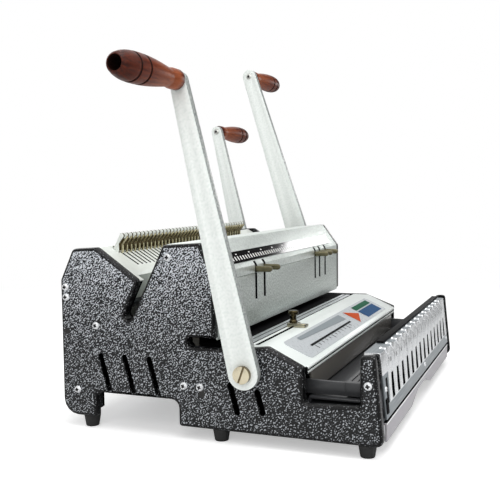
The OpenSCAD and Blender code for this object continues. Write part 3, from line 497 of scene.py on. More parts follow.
def brushed_metal(
    name, colour, roughness, along, line_mm=0.6, depth_mm=0.02, contrast=0.12, metallic=1.0,
):
    """A metal with fine lines along one axis, drawn coarse enough to show."""
    line_stretch, line_strength = 0.02, 0.5
    made, tree, shader = finish_of(name, colour, roughness, metallic)
    stretch = [1.0, 1.0, 1.0]
    stretch["xyz".index(along)] = line_stretch
    lines = noise(tree, line_mm, 3.0, stretch)
    spread = add(
        tree, "ShaderNodeMapRange", None, Value=lines, From_Min=0.3, From_Max=0.7,
        To_Min=roughness - contrast, To_Max=roughness + contrast,
    )
    tree.links.new(spread.outputs[0], shader.inputs["Roughness"])
    relief(tree, shader, lines, depth_mm, line_strength)
    return made


screw_tree, given = new_tree(
    "cross head screws", Head_Radius="Float", Head_Height="Float", Recess="Float", Finish="Material",
    Recess_Finish="Material",
)
head_sides, crown, recess_span, recess_depth = 20, 0.72, 1.1, 1.4
shade_span, shade_top = 0.62, 0.98
twist_seed = 7
head_radius, head_height = given["Head Radius"], given["Head Height"]
screw = add(
    screw_tree, "GeometryNodeMeshCone", None, Vertices=head_sides, Radius_Bottom=head_radius,
    Radius_Top=maths(screw_tree, "MULTIPLY", head_radius, crown), Depth=head_height,
)
arm_length = maths(screw_tree, "MULTIPLY", head_radius, recess_span)
deep = maths(screw_tree, "MULTIPLY", head_height, recess_depth)
lift = add(screw_tree, "ShaderNodeCombineXYZ", Z=head_height)
for across, along in ((arm_length, given["Recess"]), (given["Recess"], arm_length)):
    extent = add(screw_tree, "ShaderNodeCombineXYZ", X=across, Y=along, Z=deep)
    arm = add(screw_tree, "GeometryNodeMeshCube", None, Size=extent.outputs[0])
    lifted = add(
        screw_tree, "GeometryNodeTransform", None, Geometry=arm.outputs[0], Translation=lift.outputs[0]
    )
    screw = add(
        screw_tree, "GeometryNodeMeshBoolean", {"operation": "DIFFERENCE", "solver": "EXACT"},
        Mesh_1=screw.outputs[0], Mesh_2=lifted.outputs[0],
    )
here = add(screw_tree, "GeometryNodeInputPosition")
here_parts = add(screw_tree, "ShaderNodeSeparateXYZ", Vector=here.outputs[0])
off_axis = add(screw_tree, "ShaderNodeCombineXYZ", X=here_parts.outputs["X"], Y=here_parts.outputs["Y"])
reach = add(screw_tree, "ShaderNodeVectorMath", {"operation": "LENGTH"}, _0=off_axis.outputs[0])
inner = maths(screw_tree, "MULTIPLY", head_radius, shade_span)
top = maths(screw_tree, "MULTIPLY", head_height, shade_top)
within = maths(screw_tree, "LESS_THAN", reach.outputs["Value"], inner)
below = maths(screw_tree, "LESS_THAN", here_parts.outputs["Z"], top)
sunk = maths(screw_tree, "MULTIPLY", within, below)
screw = add(
    screw_tree, "GeometryNodeStoreNamedAttribute", {"data_type": "BOOLEAN", "domain": "FACE"},
    Geometry=screw.outputs[0], Name="recess", Value=sunk,
)
facing = add(screw_tree, "GeometryNodeInputNamedAttribute", {"data_type": "FLOAT_VECTOR"}, Name="facing")
outward = add(
    screw_tree, "FunctionNodeAlignRotationToVector", {"axis": "Z"}, Vector=facing.outputs["Attribute"]
)
tightened = add(screw_tree, "FunctionNodeRandomValue", {"data_type": "FLOAT"}, Seed=twist_seed)
tightened.inputs["Max"].default_value = math.pi / 2
twist = add(
    screw_tree, "FunctionNodeAxisAngleToRotation", None, Axis=(0, 0, 1), Angle=tightened.outputs["Value"]
)
turned = add(
    screw_tree, "FunctionNodeRotateRotation", {"rotation_space": "LOCAL"},
    Rotation=outward.outputs[0], Rotate_By=twist.outputs[0],
)
spots = add(screw_tree, "GeometryNodeMeshToPoints", None, Mesh=given["Geometry"])
set_in = add(
    screw_tree, "GeometryNodeInstanceOnPoints", None,
    Points=spots.outputs[0], Instance=screw.outputs[0], Rotation=turned.outputs[0],
)
real = add(screw_tree, "GeometryNodeRealizeInstances", None, Geometry=set_in.outputs[0])
plated = add(screw_tree, "GeometryNodeSetMaterial", None, Geometry=real.outputs[0], Material=given["Finish"])
# The recess faces take a dark finish as painted shade
in_recess = add(screw_tree, "GeometryNodeInputNamedAttribute", {"data_type": "BOOLEAN"}, Name="recess")
painted = add(
    screw_tree, "GeometryNodeSetMaterial", None, Geometry=plated.outputs[0],
    Selection=in_recess.outputs["Attribute"], Material=given["Recess Finish"],
)
add(screw_tree, "NodeGroupOutput", Geometry=painted.outputs[0])


def screws_at(name, spots, radius, height, recess, finish=None):
    """Screw heads grown on spots, each a place under the head and the way it faces."""
    mesh = bpy.data.meshes.new(name + "_places")
    mesh.from_pydata([place for place, way in spots], [], [])
    ways = mesh.attributes.new("facing", "FLOAT_VECTOR", "POINT")
    ways.data.foreach_set("vector", [number for place, way in spots for number in way])
    return grown(
        name, screw_tree, mesh, Head_Radius=radius, Head_Height=height, Recess=recess,
        Finish=finish or zinc_screw, Recess_Finish=recess_shade,
    )


# Bright plating whose haze scatters the light, with the turning marks of the head, and painted shade that
# keeps the recess dark
zinc_screw = brushed_metal("bright zinc plated steel", "#f4f6f8", 0.24, "x", line_mm=0.5, metallic=0.3)
recess_shade, tree, shader = finish_of("painted shade in a recess", "#101011", 0.5)
tint(tree, shader, noise(tree, 1.5, 2.0), (0.3, "#0a0a0a"), (0.7, "#1d1c1b"))
casing_head, rim_band = 1.9 * MM, 0.1 * MM
screw_spots = []
for lump in lumps("casing_screws"):
    middle = sum(lump, Vector()) / len(lump)
    side = math.copysign(1, middle.x)
    tip = max(side * p.x for p in lump)
    ring = [p for p in lump if side * p.x > tip - rim_band]
    heart = sum(ring, Vector()) / len(ring)
    screw_spots.append(((side * (tip - casing_head), heart.y, heart.z), (side, 0, 0)))
screws = screws_at("casing_screw_heads", screw_spots, radius=3.7 * MM, height=casing_head, recess=1.7 * MM)
stands_for(screws, "casing_screws")

face_left, face_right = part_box("left_side_casing")[0].x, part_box("right_side_casing")[1].x
# A flat dark disc of painted shade in each empty hole
shaded_holes = (133.8 * MM, 97.0 * MM), (-14.6 * MM, 45.4 * MM)
hole_shade_spots = []
for x, side in ((face_left, -1), (face_right, 1)):
    hole_shade_spots += [((x, y, z), (side, 0, 0)) for y, z in shaded_holes]
hole_shades = screws_at("casing_hole_plugs", hole_shade_spots, 3.4 * MM, 0.3 * MM, 1.0 * MM, recess_shade)
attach(hole_shades, body_of["left_side_casing"])


# Frame plates, floor and shafts
# Steel plates and angles inside the machine, black oxide, and turned shafts and the floor in
# zinc plate, with fine lines from rolling and turning.
def eased(node, finish, edge_mm, segments=2, reshape=None):
    """A copy of a CAD piece with its sharp edges rounded, as paint and tumbling leave them."""
    flat_deg, sharp_deg = 0.5, 35
    shape = merged(node)
    bmesh.ops.dissolve_limit(shape, angle_limit=math.radians(flat_deg), verts=shape.verts, edges=shape.edges)
    if reshape:
        reshape(shape)
    mesh = bpy.data.meshes.new(node + "_eased")
    shape.to_mesh(mesh)
    shape.free()
    piece = add_object(node + "_eased", mesh)
    bevel = piece.modifiers.new("eased edges", "BEVEL")
    bevel.width = edge_mm * MM
    bevel.segments = segments
    bevel.limit_method = "ANGLE"
    bevel.angle_limit = math.radians(sharp_deg)
    mesh = plain_mesh(piece)
    smooth(mesh)
    mesh.materials.clear()
    mesh.materials.append(finish)
    stands_for(piece, node)
    return piece


def dressed(node, finish):
    """The CAD piece itself, with a finish."""
    frame["nodes"][node].data.materials.clear()
    frame["nodes"][node].data.materials.append(finish)


# A clouded dead black, also used as painted shade in slots, grooves and gaps, and three metals with lines:
# dull grey, pale and dark gold
black_oxide_and_shade, tree, shader = finish_of("black oxide steel and painted shade", "#0b0b0c", 0.6, Specular_IOR_Level=0.02)
tint(tree, shader, noise(tree, 6, 4.0), (0.3, "#050506"), (0.7, "#0e0e10"))
zinc_plate = brushed_metal("zinc plated steel", "#8b8f94", 0.42, "x")
ground_steel = brushed_metal("ground tool steel", "#d4d8db", 0.40, "x", line_mm=0.45)
turned_brass_and_shade = brushed_metal("turned brass", "#7d7055", 0.30, "z", line_mm=0.5)
for node in ("left_frame_plate", "right_frame_plate", "hook_rails", "hook_bar", "punch_ram"):
    dressed(node, black_oxide_and_shade)
for node in ("base_plate", "punch_shaft", "closer_shaft", "opener_shaft"):
    dressed(node, zinc_plate)
dressed("shaft_bushes", turned_brass_and_shade)

# Die, guide, stop and pins
# Hardened steel bars: the die under the paper, the pin guide above it, the stop behind, the pins
# and the two posts that the ram slides on. Only the pins and the die's edge by the table are bright; the rest
# of the die's top and its lower faces are black as painted shade under the front plate.
for node in ("pin_guide_plate", "paper_stop"):
    eased(node, black_oxide_and_shade, 0.3, segments=1)
die = eased("die_block", ground_steel, 0.2, segments=1)
die_low, die_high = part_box("die_block")
shade_beyond_y, shade_below_z = die_low.y + 13 * MM, die_high.z - 0.3 * MM
# Black as painted shade on the die's top under the front plate and on its lower faces
second_finish(die, black_oxide_and_shade, lambda n, c: c.y > shade_beyond_y or c.z < shade_below_z)
dressed("punch_pins", ground_steel)
dressed("ram_guide_posts", black_oxide_and_shade)

# Covers of the punch box
# Folded aluminium sheets, satin anodised: the front plate with the slots of the pull tabs, the
# top cover with its bevel, the slanted rear wall, and the rear cover of the machine.
def shaded_slot_walls(piece, node, finish):
    """A second finish, as painted shade, on the walls of a sheet's slots, away from its ends."""
    low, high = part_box(node)
    from_end, sideways = 2 * MM, 0.35
    second_finish(
        piece, finish, lambda n, c: abs(n.x) > sideways and low.x + from_end < c.x < high.x - from_end
    )


def satin_aluminium(name, dark, pale, blotch_mm):
    """Anodised sheet with fine rolling lines and a grain of two tones that the etching bath leaves."""
    made = brushed_metal(name, pale, 0.46, "x", line_mm=0.7, depth_mm=0.03, contrast=0.10)
    tree = made.node_tree
    tint(tree, tree.nodes["Principled BSDF"], noise(tree, blotch_mm, 3.0), (0.36, dark), (0.62, pale))
    return made


# A pale satin sheen, with a grain that shows most on the upright front plate
cover_aluminium = satin_aluminium("satin anodised aluminium", "#d0d6d2", "#e2e8e4", blotch_mm=2.4)
plate_aluminium = satin_aluminium(
    "satin anodised aluminium, coarse etch", "#b0b7b3", "#dbe1dd", blotch_mm=2.0
)
for node, sheet in (
    ("punch_front_plate", plate_aluminium), ("punch_top_cover", cover_aluminium),
    ("punch_rear_wall", cover_aluminium), ("rear_cover", cover_aluminium),
):
    cover = eased(node, sheet, 0.5)
    # Black slot walls as painted shade
    shaded_slot_walls(cover, node, black_oxide_and_shade)
rear_low, rear_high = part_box("rear_cover")
rear_inset = 9 * MM
rear_columns = rear_low.x + rear_inset, rear_high.x - rear_inset
rear_rows = 52 * MM, 96 * MM, 140 * MM
rear_spots = [((x, rear_high.y, z), (0, 1, 0)) for x in rear_columns for z in rear_rows]
rear_screws = screws_at("rear_cover_screws", rear_spots, radius=3.2 * MM, height=1.4 * MM, recess=1.4 * MM)
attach(rear_screws, body_of["rear_cover"])

# Scale strip
# A strip of black lacquered aluminium on the bevel of the top cover, with two rows of white
# printed marks. One node tree makes these, the end catch, and the dark dots and end slot of painted shade on
# the wire closer.
# A black mirror with a faint haze
black_lacquer, tree, shader = finish_of("black gloss lacquer", "#050506", 0.08)
haze = add(tree, "ShaderNodeMapRange", None, Value=noise(tree, 9, 4.0), To_Min=0.06, To_Max=0.11)
tree.links.new(haze.outputs[0], shader.inputs["Roughness"])
eased("scale_strip", black_lacquer, 0.1, segments=1)

mark_tree, given = new_tree(
    "row of marks", Count="Int", Step="Vector", Size="Vector", Tilt="Float", Round="Bool",
    Finish="Material",
)
disc_sides = 14
line = add(mark_tree, "GeometryNodeMeshLine", None, Count=given["Count"], Offset=given["Step"])
square = add(mark_tree, "GeometryNodeMeshCube", None, Size=given["Size"])
disc = add(mark_tree, "GeometryNodeMeshCylinder", None, Vertices=disc_sides, Radius=0.5, Depth=1.0)
disc = add(mark_tree, "GeometryNodeTransform", None, Geometry=disc.outputs[0], Scale=given["Size"])
mark = add(
    mark_tree, "GeometryNodeSwitch", {"input_type": "GEOMETRY"},
    Switch=given["Round"], False_=square.outputs[0], True_=disc.outputs[0],
)
tilted = add(mark_tree, "ShaderNodeCombineXYZ", X=given["Tilt"])
marks = add(
    mark_tree, "GeometryNodeInstanceOnPoints", None,
    Points=line.outputs[0], Instance=mark.outputs[0], Rotation=tilted.outputs[0],
)
real = add(mark_tree, "GeometryNodeRealizeInstances", None, Geometry=marks.outputs[0])
painted = add(mark_tree, "GeometryNodeSetMaterial", None, Geometry=real.outputs[0], Material=given["Finish"])
add(mark_tree, "NodeGroupOutput", Geometry=painted.outputs[0])


def mark_row(name, place, count, step, size, tilt, finish, rides_with, is_round=False):
    """A row of thin square or round marks that starts at a place and rides with a CAD node's body."""
    piece = grown(
        name, mark_tree, Count=count, Step=(step, 0, 0), Size=size, Tilt=tilt, Round=is_round, Finish=finish
    )
    for corner in piece.data.vertices:
        corner.co += place
    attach(piece, body_of[rides_with])


def screen_ink(name, colour, roughness=0.45, shine=0.03):
    """Printing ink, a little mottled where the film takes it unevenly."""
    mottling = 0.12
    made, tree, shader = finish_of(name, colour, roughness, Specular_IOR_Level=shine)
    spread = add(
        tree, "ShaderNodeMapRange", None, Value=noise(tree, 3, 3.0),
        To_Min=roughness - mottling, To_Max=roughness + mottling,
    )
    tree.links.new(spread.outputs[0], shader.inputs["Roughness"])
    return made


# Matt white, crisp on the black gloss
white_ink = screen_ink("white screen ink", "#f2f2f0", 0.5)
strip_low, strip_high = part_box("scale_strip")
bevel_slope = math.atan2(strip_high.z - strip_low.z, strip_high.y - strip_low.y)
strip_normal = Vector((0, -math.sin(bevel_slope), math.cos(bevel_slope)))
down_strip = Vector((0, -math.cos(bevel_slope), -math.sin(bevel_slope)))
strip_middle = (strip_low + strip_high) / 2
mark_pitch, mark_lift, mark_drop, strip_margin = 7 * MM, 0.42 * MM, 1.6 * MM, 6 * MM
first_mark = Vector((strip_low.x + strip_margin, strip_middle.y, strip_middle.z))
first_mark += strip_normal * mark_lift + down_strip * mark_drop
mark_count = int((strip_high.x - strip_low.x - 2 * strip_margin) / mark_pitch)
mark_size = (2.4 * MM, 4.6 * MM, 0.1 * MM)
mark_row("scale_marks", first_mark, mark_count, mark_pitch, mark_size, bevel_slope, white_ink, "scale_strip")
fifths, fifth_size, fifth_rise = 5, (3.2 * MM, 1.8 * MM, 0.1 * MM), 5 * MM
mark_row(
    "scale_fifths", first_mark - down_strip * fifth_rise, mark_count // fifths, fifths * mark_pitch,
    fifth_size, bevel_slope, white_ink, "scale_strip",
)

# Pull tabs and hooks
# Punched steel strips, yellow passivated: the tabs that switch single pins off, and the hooks of
# the comb opener, with painted light on their lower halves and painted shade on their upper halves.
# Olive brass with brushed lines on the tabs; on the hooks, brown as painted shade and pale gold as painted
# light
passivated_steel = brushed_metal(
    "yellow passivated steel", "#6e6953", 0.30, "y", line_mm=0.8, depth_mm=0.03, contrast=0.16
)
for node in ("pull_tab_1", "pull_tab_2", "pull_tab_3", "pull_tab_4", "pull_tab_5"):
    eased(node, passivated_steel, 0.5)
shaded_hook_steel = brushed_metal("yellow passivated spring steel", "#4f452b", 0.36, "y", line_mm=0.8)
lit_hook_steel = brushed_metal("spring steel, painted highlight", "#e0d7b4", 0.34, "y", line_mm=0.8)
hooks = eased("opener_hooks", shaded_hook_steel, 0.3)
hook_low, hook_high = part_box("opener_hooks")
# Lower half pale as painted light, upper half brown as painted shade
lit_below_z = hook_low.z + 0.5 * (hook_high.z - hook_low.z)
second_finish(hooks, lit_hook_steel, lambda n, c: c.z < lit_below_z)

# Lever arms
# Tapered flat steel bars in pearl hammer enamel, each held to its shaft by a large brass screw
# with a slot across its head.
# Almost white with a faint grain of pale cells, and grey on the narrow sides as painted shade
arm_tones = (0.30, "#e8eeea"), (0.50, "#eff4f0"), (0.70, "#f3f7f4")
arm_enamel = hammer_enamel("pearl hammer enamel", 3.2, arm_tones, roughness=0.34, depth_mm=0.03)
side_shade_tones = (0.35, "#868b8a"), (0.52, "#9ca19f"), (0.68, "#b6bbb8")
arm_side_shade_enamel = hammer_enamel(
    "pearl hammer enamel, thin on the sides", 3.2, side_shade_tones, roughness=0.40, depth_mm=0.03
)
for node in ("punch_arm", "closer_arm", "opener_arm"):
    arm = eased(node, arm_enamel, 0.8)
    # Grey narrow sides as painted shade
    second_finish(arm, arm_side_shade_enamel, lambda n, c: abs(n.x) < 0.6)
# Pale gold with fine lines, and the darker turned brass as painted shade round the head and in its slot
pale_brass = brushed_metal("pale turned brass", "#e0d6bb", 0.30, "z", line_mm=0.8)
slot_tilt = math.radians(20)
across_slot = Vector((0, math.cos(slot_tilt), math.sin(slot_tilt)))
slot_shade_half = 1.25 * MM
for node in ("punch_pivot_screw", "closer_pivot_screw", "opener_pivot_screw"):
    pivot_screw = eased(node, pale_brass, 0.6)
    low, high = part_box(node)
    heart = (low + high) / 2
    # Darker round the head and in the slot, as painted shade
    second_finish(
        pivot_screw, turned_brass_and_shade,
        lambda n, c: abs(n.x) < 0.5 or abs((c - heart).dot(across_slot)) < slot_shade_half,
    )

# Grips
# Turned hardwood, stained red brown and lacquered, with two grooves and a bore, free to spin on a plated
# steel bolt with a socket in its inner head; painted shade darkens the free end, the collar, the grooves and
# the bore, and the socket is a dark disc of painted shade.
# Long fine grain, with painted shade that darkens it towards the free end and at the collar
lacquered_wood, tree, shader = finish_of(
    "lacquered stained hardwood", "#6a3018", 0.38, Specular_IOR_Level=0.18
)
grain = noise(tree, 2.4, 5.0, (0.09, 1, 1), Distortion=0.6)
along = add(tree, "ShaderNodeAttribute", {"attribute_name": "along"}).outputs["Fac"]
grain_share, end_shade_share, collar_shade_from, collar_shade_depth = 0.55, 0.45, 0.92, 0.45
# Darker towards the free end and at the collar end, as painted shade
grain_and_shade = maths(tree, "MULTIPLY_ADD", grain, grain_share, maths(tree, "MULTIPLY", along, end_shade_share))
collar_shade = add(
    tree, "ShaderNodeMapRange", Value=along,
    From_Min=collar_shade_from, From_Max=1.0, To_Min=0.0, To_Max=collar_shade_depth,
)
grain_and_shade = maths(tree, "SUBTRACT", grain_and_shade, collar_shade.outputs[0])
tint(tree, shader, grain_and_shade, (0.22, "#300d05"), (0.42, "#5c220c"), (0.72, "#964d27"))
relief(tree, shader, grain, 0.05, 0.5)
# Dull brown black as painted shade in the bore and the grooves
groove_shade_wood, tree, shader = finish_of(
    "hardwood scorched in the lathe", "#1c0a06", 0.6, Specular_IOR_Level=0.1
)
tint(tree, shader, noise(tree, 1.2, 3.0), (0.3, "#0d0403"), (0.7, "#210c07"))
groove_from, groove_to = 0.55, 0.9
for node in ("punch_grip", "closer_grip", "opener_grip"):
    grip = eased(node, lacquered_wood, 0.5)
    low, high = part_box(node)
    axis = (low + high) / 2
    ends = sorted((low.x, high.x), key=abs)
    lengthwise = grip.data.attributes.new("along", "FLOAT", "POINT")
    shares = [(ends[1] - v.co.x) / (ends[1] - ends[0]) for v in grip.data.vertices]
    lengthwise.data.foreach_set("value", shares)

    def in_painted_shade(n, c, axis=axis, ends=ends):
        """True in the bore, and on the walls of the two grooves."""
        place = (c.x - ends[0]) / (ends[1] - ends[0])
        outward = Vector((0, c.y - axis.y, c.z - axis.z)).normalized()
        return n.dot(outward) < -0.3 or abs(n.x) > 0.5 and groove_from < place < groove_to

    second_finish(grip, groove_shade_wood, in_painted_shade)
# Bright with turning lines
plated_steel = brushed_metal("bright plated steel", "#d2d2cd", 0.26, "x", line_mm=0.5)
for lever in ("punch", "closer", "opener"):
    bolt = lever + "_grip_bolt"
    eased(bolt, plated_steel, 0.4)
    low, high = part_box(bolt)
    inner_x = min(low.x, high.x, key=abs)
    socket_place = inner_x, (low.y + high.y) / 2, (low.z + high.z) / 2
    socket_way = -math.copysign(1, inner_x), 0, 0
    # The socket is a flat dark disc of painted shade
    socket = screws_at(
        lever + "_bolt_socket", [(socket_place, socket_way)], 2.0 * MM, 0.2 * MM, 0.8 * MM, recess_shade
    )
    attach(socket, body_of[bolt])

# Table
# A folded sheet in white satin lacquer with a slot for the side guide and a double bead along its
# front, over a slate fascia and chip drawer, and a dark slate trough and jaw. The side guide is
# nickel bronze, with a browned brass knob.
def satin_paint(name, colour, roughness, grit_mm, **more):
    """Satin paint with a faint orange-peel grit."""
    made, tree, shader = finish_of(name, colour, roughness, **more)
    relief(tree, shader, noise(tree, grit_mm, 2.0), 0.04, 0.5)
    return made


# Clean white with a soft gloss
table_lacquer = satin_paint("white satin lacquer", "#eef4f1", roughness=0.30, grit_mm=1.2)
table = eased("table_top", table_lacquer, 0.4)
slot_y, slot_shade_reach = -58.4 * MM, 2.1 * MM
slot_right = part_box("side_guide")[1].x + 10 * MM
# Black walls of the guide slot as painted shade
second_finish(
    table, black_oxide_and_shade, lambda n, c: abs(c.y - slot_y) < slot_shade_reach and n.z < 0.95 and c.x < slot_right
)
trim = eased("trim_rail", table_lacquer, 0.2)
trim_low, trim_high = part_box("trim_rail")
groove_z, groove_shade_half = (trim_low.z + trim_high.z) / 2, 0.7 * MM
# Black line between the two beads as painted shade in the groove
second_finish(trim, black_oxide_and_shade, lambda n, c: abs(c.z - groove_z) < groove_shade_half)
# Warm grey with a soft gloss on the fascia, and a darker, duller grey in the trough
slate_paint = satin_paint("slate satin paint", "#74716c", roughness=0.26, grit_mm=0.9)
for node in ("table_fascia", "chip_tray"):
    eased(node, slate_paint, 0.5)
trough_paint = satin_paint("dark slate paint", "#38393b", roughness=0.36, grit_mm=0.9)
for node in ("trough_floor", "closer_jaw", "jaw_links"):
    eased(node, trough_paint, 0.3)
# Greyish gold on the guide and a deep brown on its knob, both with a shine
pale_bronze = brushed_metal("nickel bronze", "#a9a38d", 0.24, "x")
eased("side_guide", pale_bronze, 0.4)
dark_bronze = brushed_metal("browned brass", "#473f2c", 0.20, "z")
eased("guide_knob", dark_bronze, 0.4)

# Printed panel
# A polyester film stuck on the slope of the table, with rounded corners, printed with a plain
# scale line and its ticks, a wedge, an arrow and two bars of colour.
film_t = 0.5 * MM
label_low, label_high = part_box("label_panel")
label_slope = math.atan2(label_high.z - label_low.z, label_high.y - label_low.y)
label_up = Vector((0, math.cos(label_slope), math.sin(label_slope)))
label_out = Vector((0, -math.sin(label_slope), math.cos(label_slope)))
label_wide = label_high.x - label_low.x
label_tall = (label_high.y - label_low.y) / math.cos(label_slope)


def round_corners(shape):
    """Rounds the corners of the film, on its edges through the thickness."""
    corner_radius, corner_steps = 6 * MM, 6
    corners = []
    for edge in shape.edges:
        way = (edge.verts[0].co - edge.verts[1].co).normalized()
        if abs(way.dot(label_out)) > 0.9:
            corners.append(edge)
    bmesh.ops.bevel(
        shape, geom=corners, offset=corner_radius, segments=corner_steps, profile=0.5, affect="EDGES"
    )


def ink_patch(name, finish, *outline):
    """A thin printed patch on the film, its outline in parts of the film's width and height."""
    skin, foot = 0.08 * MM, 0.02 * MM
    front = label_low + label_out * film_t
    spots = [front + Vector((u * label_wide, 0, 0)) + label_up * (w * label_tall) for u, w in outline]
    count = len(spots)
    corners = [spot + label_out * foot for spot in spots] + [spot + label_out * skin for spot in spots]
    walls = [(i, (i + 1) % count, count + (i + 1) % count, count + i) for i in range(count)]
    mesh = bpy.data.meshes.new(name)
    mesh.from_pydata(corners, [], [tuple(range(count))[::-1], tuple(range(count, 2 * count))] + walls)
    mesh.materials.append(finish)
    piece = add_object(name, mesh)
    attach(piece, body_of["label_panel"])


def bar(left, low, right, high):
    """The outline of an upright bar."""
    return (left, low), (right, low), (right, high), (left, high)


# Pale grey film with a slight gloss, and flat inks that keep their colour
printed_film = screen_ink("printed polyester film", "#c4c9cc", 0.30, shine=0.15)
eased("label_panel", printed_film, 0.1, 1, round_corners)
blue_ink, green_ink = screen_ink("blue screen ink", "#1b4a76"), screen_ink("green screen ink", "#14583e")
orange_ink, black_ink = screen_ink("orange screen ink", "#c24a12"), screen_ink("black screen ink", "#060607")
grey_ink = screen_ink("grey screen ink", "#90989c")
bars_left, bars_right = 0.74, 0.96
ink_patch("label_blue_bar", blue_ink, *bar(bars_left, 0.12, bars_right, 0.58))
ink_patch("label_green_bar", green_ink, *bar(bars_left, 0.64, bars_right, 0.88))
ink_patch("label_orange_arrow", orange_ink, (0.62, 0.12), (0.72, 0.5), (0.62, 0.88))
scale_left, scale_right, scale_low = 0.10, 0.56, 0.34
ink_patch(
    "label_grey_wedge", grey_ink,
    (scale_left, 0.74), (scale_right, 0.56), (scale_right, 0.88), (scale_left, 0.88),
)
ink_patch("label_scale_line", black_ink, *bar(scale_left, scale_low, scale_right, 0.42))
tick_count, tick_left, tick_step, tick_wide, tick_top = 12, 0.12, 0.036, 0.004, 0.32
tick_short, tick_long = 0.13, 0.2
for k in range(tick_count):
    left = tick_left + tick_step * k
    tall = tick_short if k % fifths else tick_long
    ink_patch("label_tick_%d" % (k + 1), black_ink, *bar(left, scale_low - tall, left + tick_wide, tick_top))

# Wire closer
# A nickel plated steel channel with slotted fingers and pressed gussets, a black pad on its
# top, and a painted panel below. Its slots are opened to their full width here.
slot_first, slot_pitch, slot_count = -166 * MM, 25 * MM, 14
slot_half, slot_open_half = 3.5 * MM, 5.2 * MM
slot_low, slot_high = 43 * MM, 66 * MM
fingers_from, gusset_low = slot_low - 1 * MM, 70 * MM
closer_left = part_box("closer_plate")[0].x
end_finger = closer_left + 19 * MM
front_slope = 0.1
front_foot = Vector((0, -185.4, 20.0)) * MM


def on_front(x, z):
    """A point on the front of the plate."""
    return Vector((x, front_foot.y + front_slope * (z - front_foot.z), z))


def from_slot(x):
    """How far an x is from the middle of the nearest slot."""
    number = min(max(round((x - slot_first) / slot_pitch), 0), slot_count - 1)
    return x - (slot_first + number * slot_pitch)


def part_at(shape, place, way=(0, 0, 1)):
    """Cuts the faces of a shape along a plane, level unless a way is given, so they take two finishes."""
    whole = shape.verts[:] + shape.edges[:] + shape.faces[:]
    bmesh.ops.bisect_plane(shape, geom=whole, plane_co=place, plane_no=way)


def open_slots(shape):
    """Widens the slots, flattens the ribs beside them, and parts the fingers from foot and gussets."""
    rib_from, rib_loss, slot_edge = 0.2 * MM, 0.75, 0.05 * MM
    for corner in shape.verts:
        proud = on_front(0, corner.co.z).y - corner.co.y
        if proud > rib_from and corner.co.z < gusset_low:
            corner.co.y += proud * rib_loss
        off = from_slot(corner.co.x)
        if abs(abs(off) - slot_half) < slot_edge:
            corner.co.x += math.copysign(slot_open_half - slot_half, off)
    part_at(shape, (0, 0, fingers_from))
    part_at(shape, (0, 0, gusset_low))
    part_at(shape, (end_finger, 0, 0), (1, 0, 0))


def in_slot(n, c):
    """True on the walls of a slot."""
    rim = slot_open_half + 0.6 * MM
    return abs(from_slot(c.x)) < rim and slot_low - rim < c.z < slot_high + rim and n.y > -0.97


def is_closer_shade(n, c):
    """True where painted shade goes: on the flange, on the foot and on the finger at the left end."""
    return n.z > 0.95 or c.z < fingers_from or c.x < end_finger and c.z < gusset_low


# Bright plating on the fingers, and a darker, duller copy as painted shade on the flange, the foot and the
# left end finger
nickel_plate = brushed_metal("nickel plated steel", "#e4e6e8", 0.24, "x", line_mm=0.8)
shaded_nickel = brushed_metal("nickel plated steel, painted shade", "#8d9498", 0.40, "x", line_mm=0.8)
closer = eased("closer_plate", nickel_plate, 0.4, reshape=open_slots)
second_finish(closer, shaded_nickel, is_closer_shade)
# Black slot walls and back of the channel as painted shade
second_finish(closer, black_oxide_and_shade, lambda n, c: in_slot(n, c) or n.y > 0.8)
front_tilt = math.pi / 2 - math.atan(front_slope)
shade_dot_z, shade_dot_wide, skin = 78 * MM, 4.6 * MM, 0.3 * MM
# Dark dots of painted shade under the gussets
mark_row(
    "closer_holes", on_front(slot_first, shade_dot_z), slot_count, slot_pitch, (shade_dot_wide, shade_dot_wide, skin),
    front_tilt, black_oxide_and_shade, "closer_plate", is_round=True,
)
# A flat black patch of painted shade where a slot shows at the left end
end_slot_shade, end_slot_shade_wide = on_front(slot_first - slot_pitch, (slot_low + slot_high) / 2), 7 * MM
mark_row(
    "closer_end_slot", end_slot_shade, 1, 0, (end_slot_shade_wide, slot_high - slot_low, skin),
    front_tilt, black_oxide_and_shade, "closer_plate",
)
end_catch, catch_size = on_front(closer_left + 5 * MM, 42 * MM), (7 * MM, 13 * MM, 2 * MM)
mark_row("closer_end_catch", end_catch, 1, 0, catch_size, front_tilt, black_oxide_and_shade, "closer_plate")
screw_line = 38 * MM
screw_places = (-197 * MM, 57 * MM), (2 * MM, screw_line), (172 * MM, screw_line)
closer_spots = [(on_front(x, z), (0, -1, front_slope)) for x, z in screw_places]
closer_screws = screws_at(
    "closer_screw_heads", closer_spots, radius=2.6 * MM, height=1.2 * MM, recess=1.2 * MM
)
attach(closer_screws, body_of["closer_plate"])
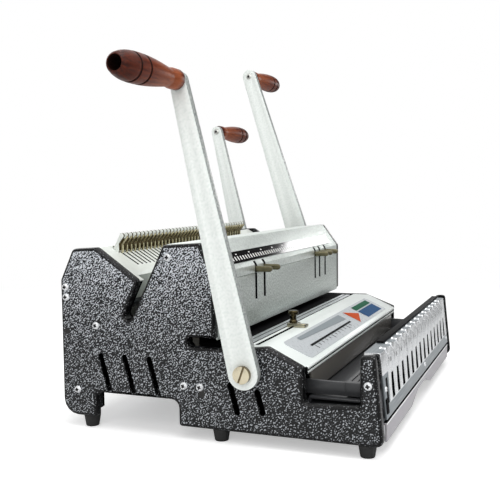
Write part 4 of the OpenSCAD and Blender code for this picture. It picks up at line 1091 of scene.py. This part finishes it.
# Dull black plastic on top, and a cool grey paint below with a bright plated lip
black_pad = satin_paint("black satin plastic", "#070708", roughness=0.5, grit_mm=0.8, Specular_IOR_Level=0.06)
eased("closer_pad", black_pad, 0.4)
panel_paint = satin_paint("lilac grey satin paint", "#a9a6ab", roughness=0.34, grit_mm=1.1)
chrome_plate = brushed_metal(
    "chrome plated brass", "#f1f2f2", 0.34, "x", line_mm=0.8, depth_mm=0.01, contrast=0.06
)
lip_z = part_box("lower_front_panel")[1].z - 1.7 * MM
panel = eased("lower_front_panel", panel_paint, 0.4, reshape=lambda shape: part_at(shape, (0, 0, lip_z)))
second_finish(panel, chrome_plate, lambda n, c: c.z > lip_z and n.y < -0.3)
# Black top faces as painted shadow under the closer plate's lower edge
second_finish(panel, black_oxide_and_shade, lambda n, c: n.z > 0.9)

# Comb opener
# A white painted steel plate with slots, black on their walls as painted shade, and the row of fixed
# teeth behind the hooks, white at their tips and on the end tooth, and dark below the tips and on their
# narrow edges as painted shade.
# White with a soft gloss, a little warmer than the table
white_paint = satin_paint("white satin paint", "#e8ece6", roughness=0.40, grit_mm=1.2)
plate = eased("opener_plate", white_paint, 0.3)
# Black slot walls as painted shade
shaded_slot_walls(plate, "opener_plate", black_oxide_and_shade)
comb_low, comb_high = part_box("opener_comb")
teeth_shade_below, end_tooth = comb_high.z - 6 * MM, comb_low.x + 4 * MM
teeth = eased("opener_comb", white_paint, 0.2, reshape=lambda shape: part_at(shape, (0, 0, teeth_shade_below)))
# Dark as painted shade below the tips, apart from the end tooth, and on the narrow edges
second_finish(
    teeth, shaded_hook_steel, lambda n, c: c.z < teeth_shade_below and c.x > end_tooth or abs(n.x) < 0.5 and n.z < 0.95
)

# Feet
# Six feet of moulded black rubber under the two casings, tapered to the floor.
# Dull black with a fine grit
black_rubber, tree, shader = finish_of("moulded black rubber", "#141414", 0.62)
relief(tree, shader, noise(tree, 0.8, 3.0), 0.08, 0.7)
eased("rubber_feet", black_rubber, 0.8)

low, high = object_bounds()
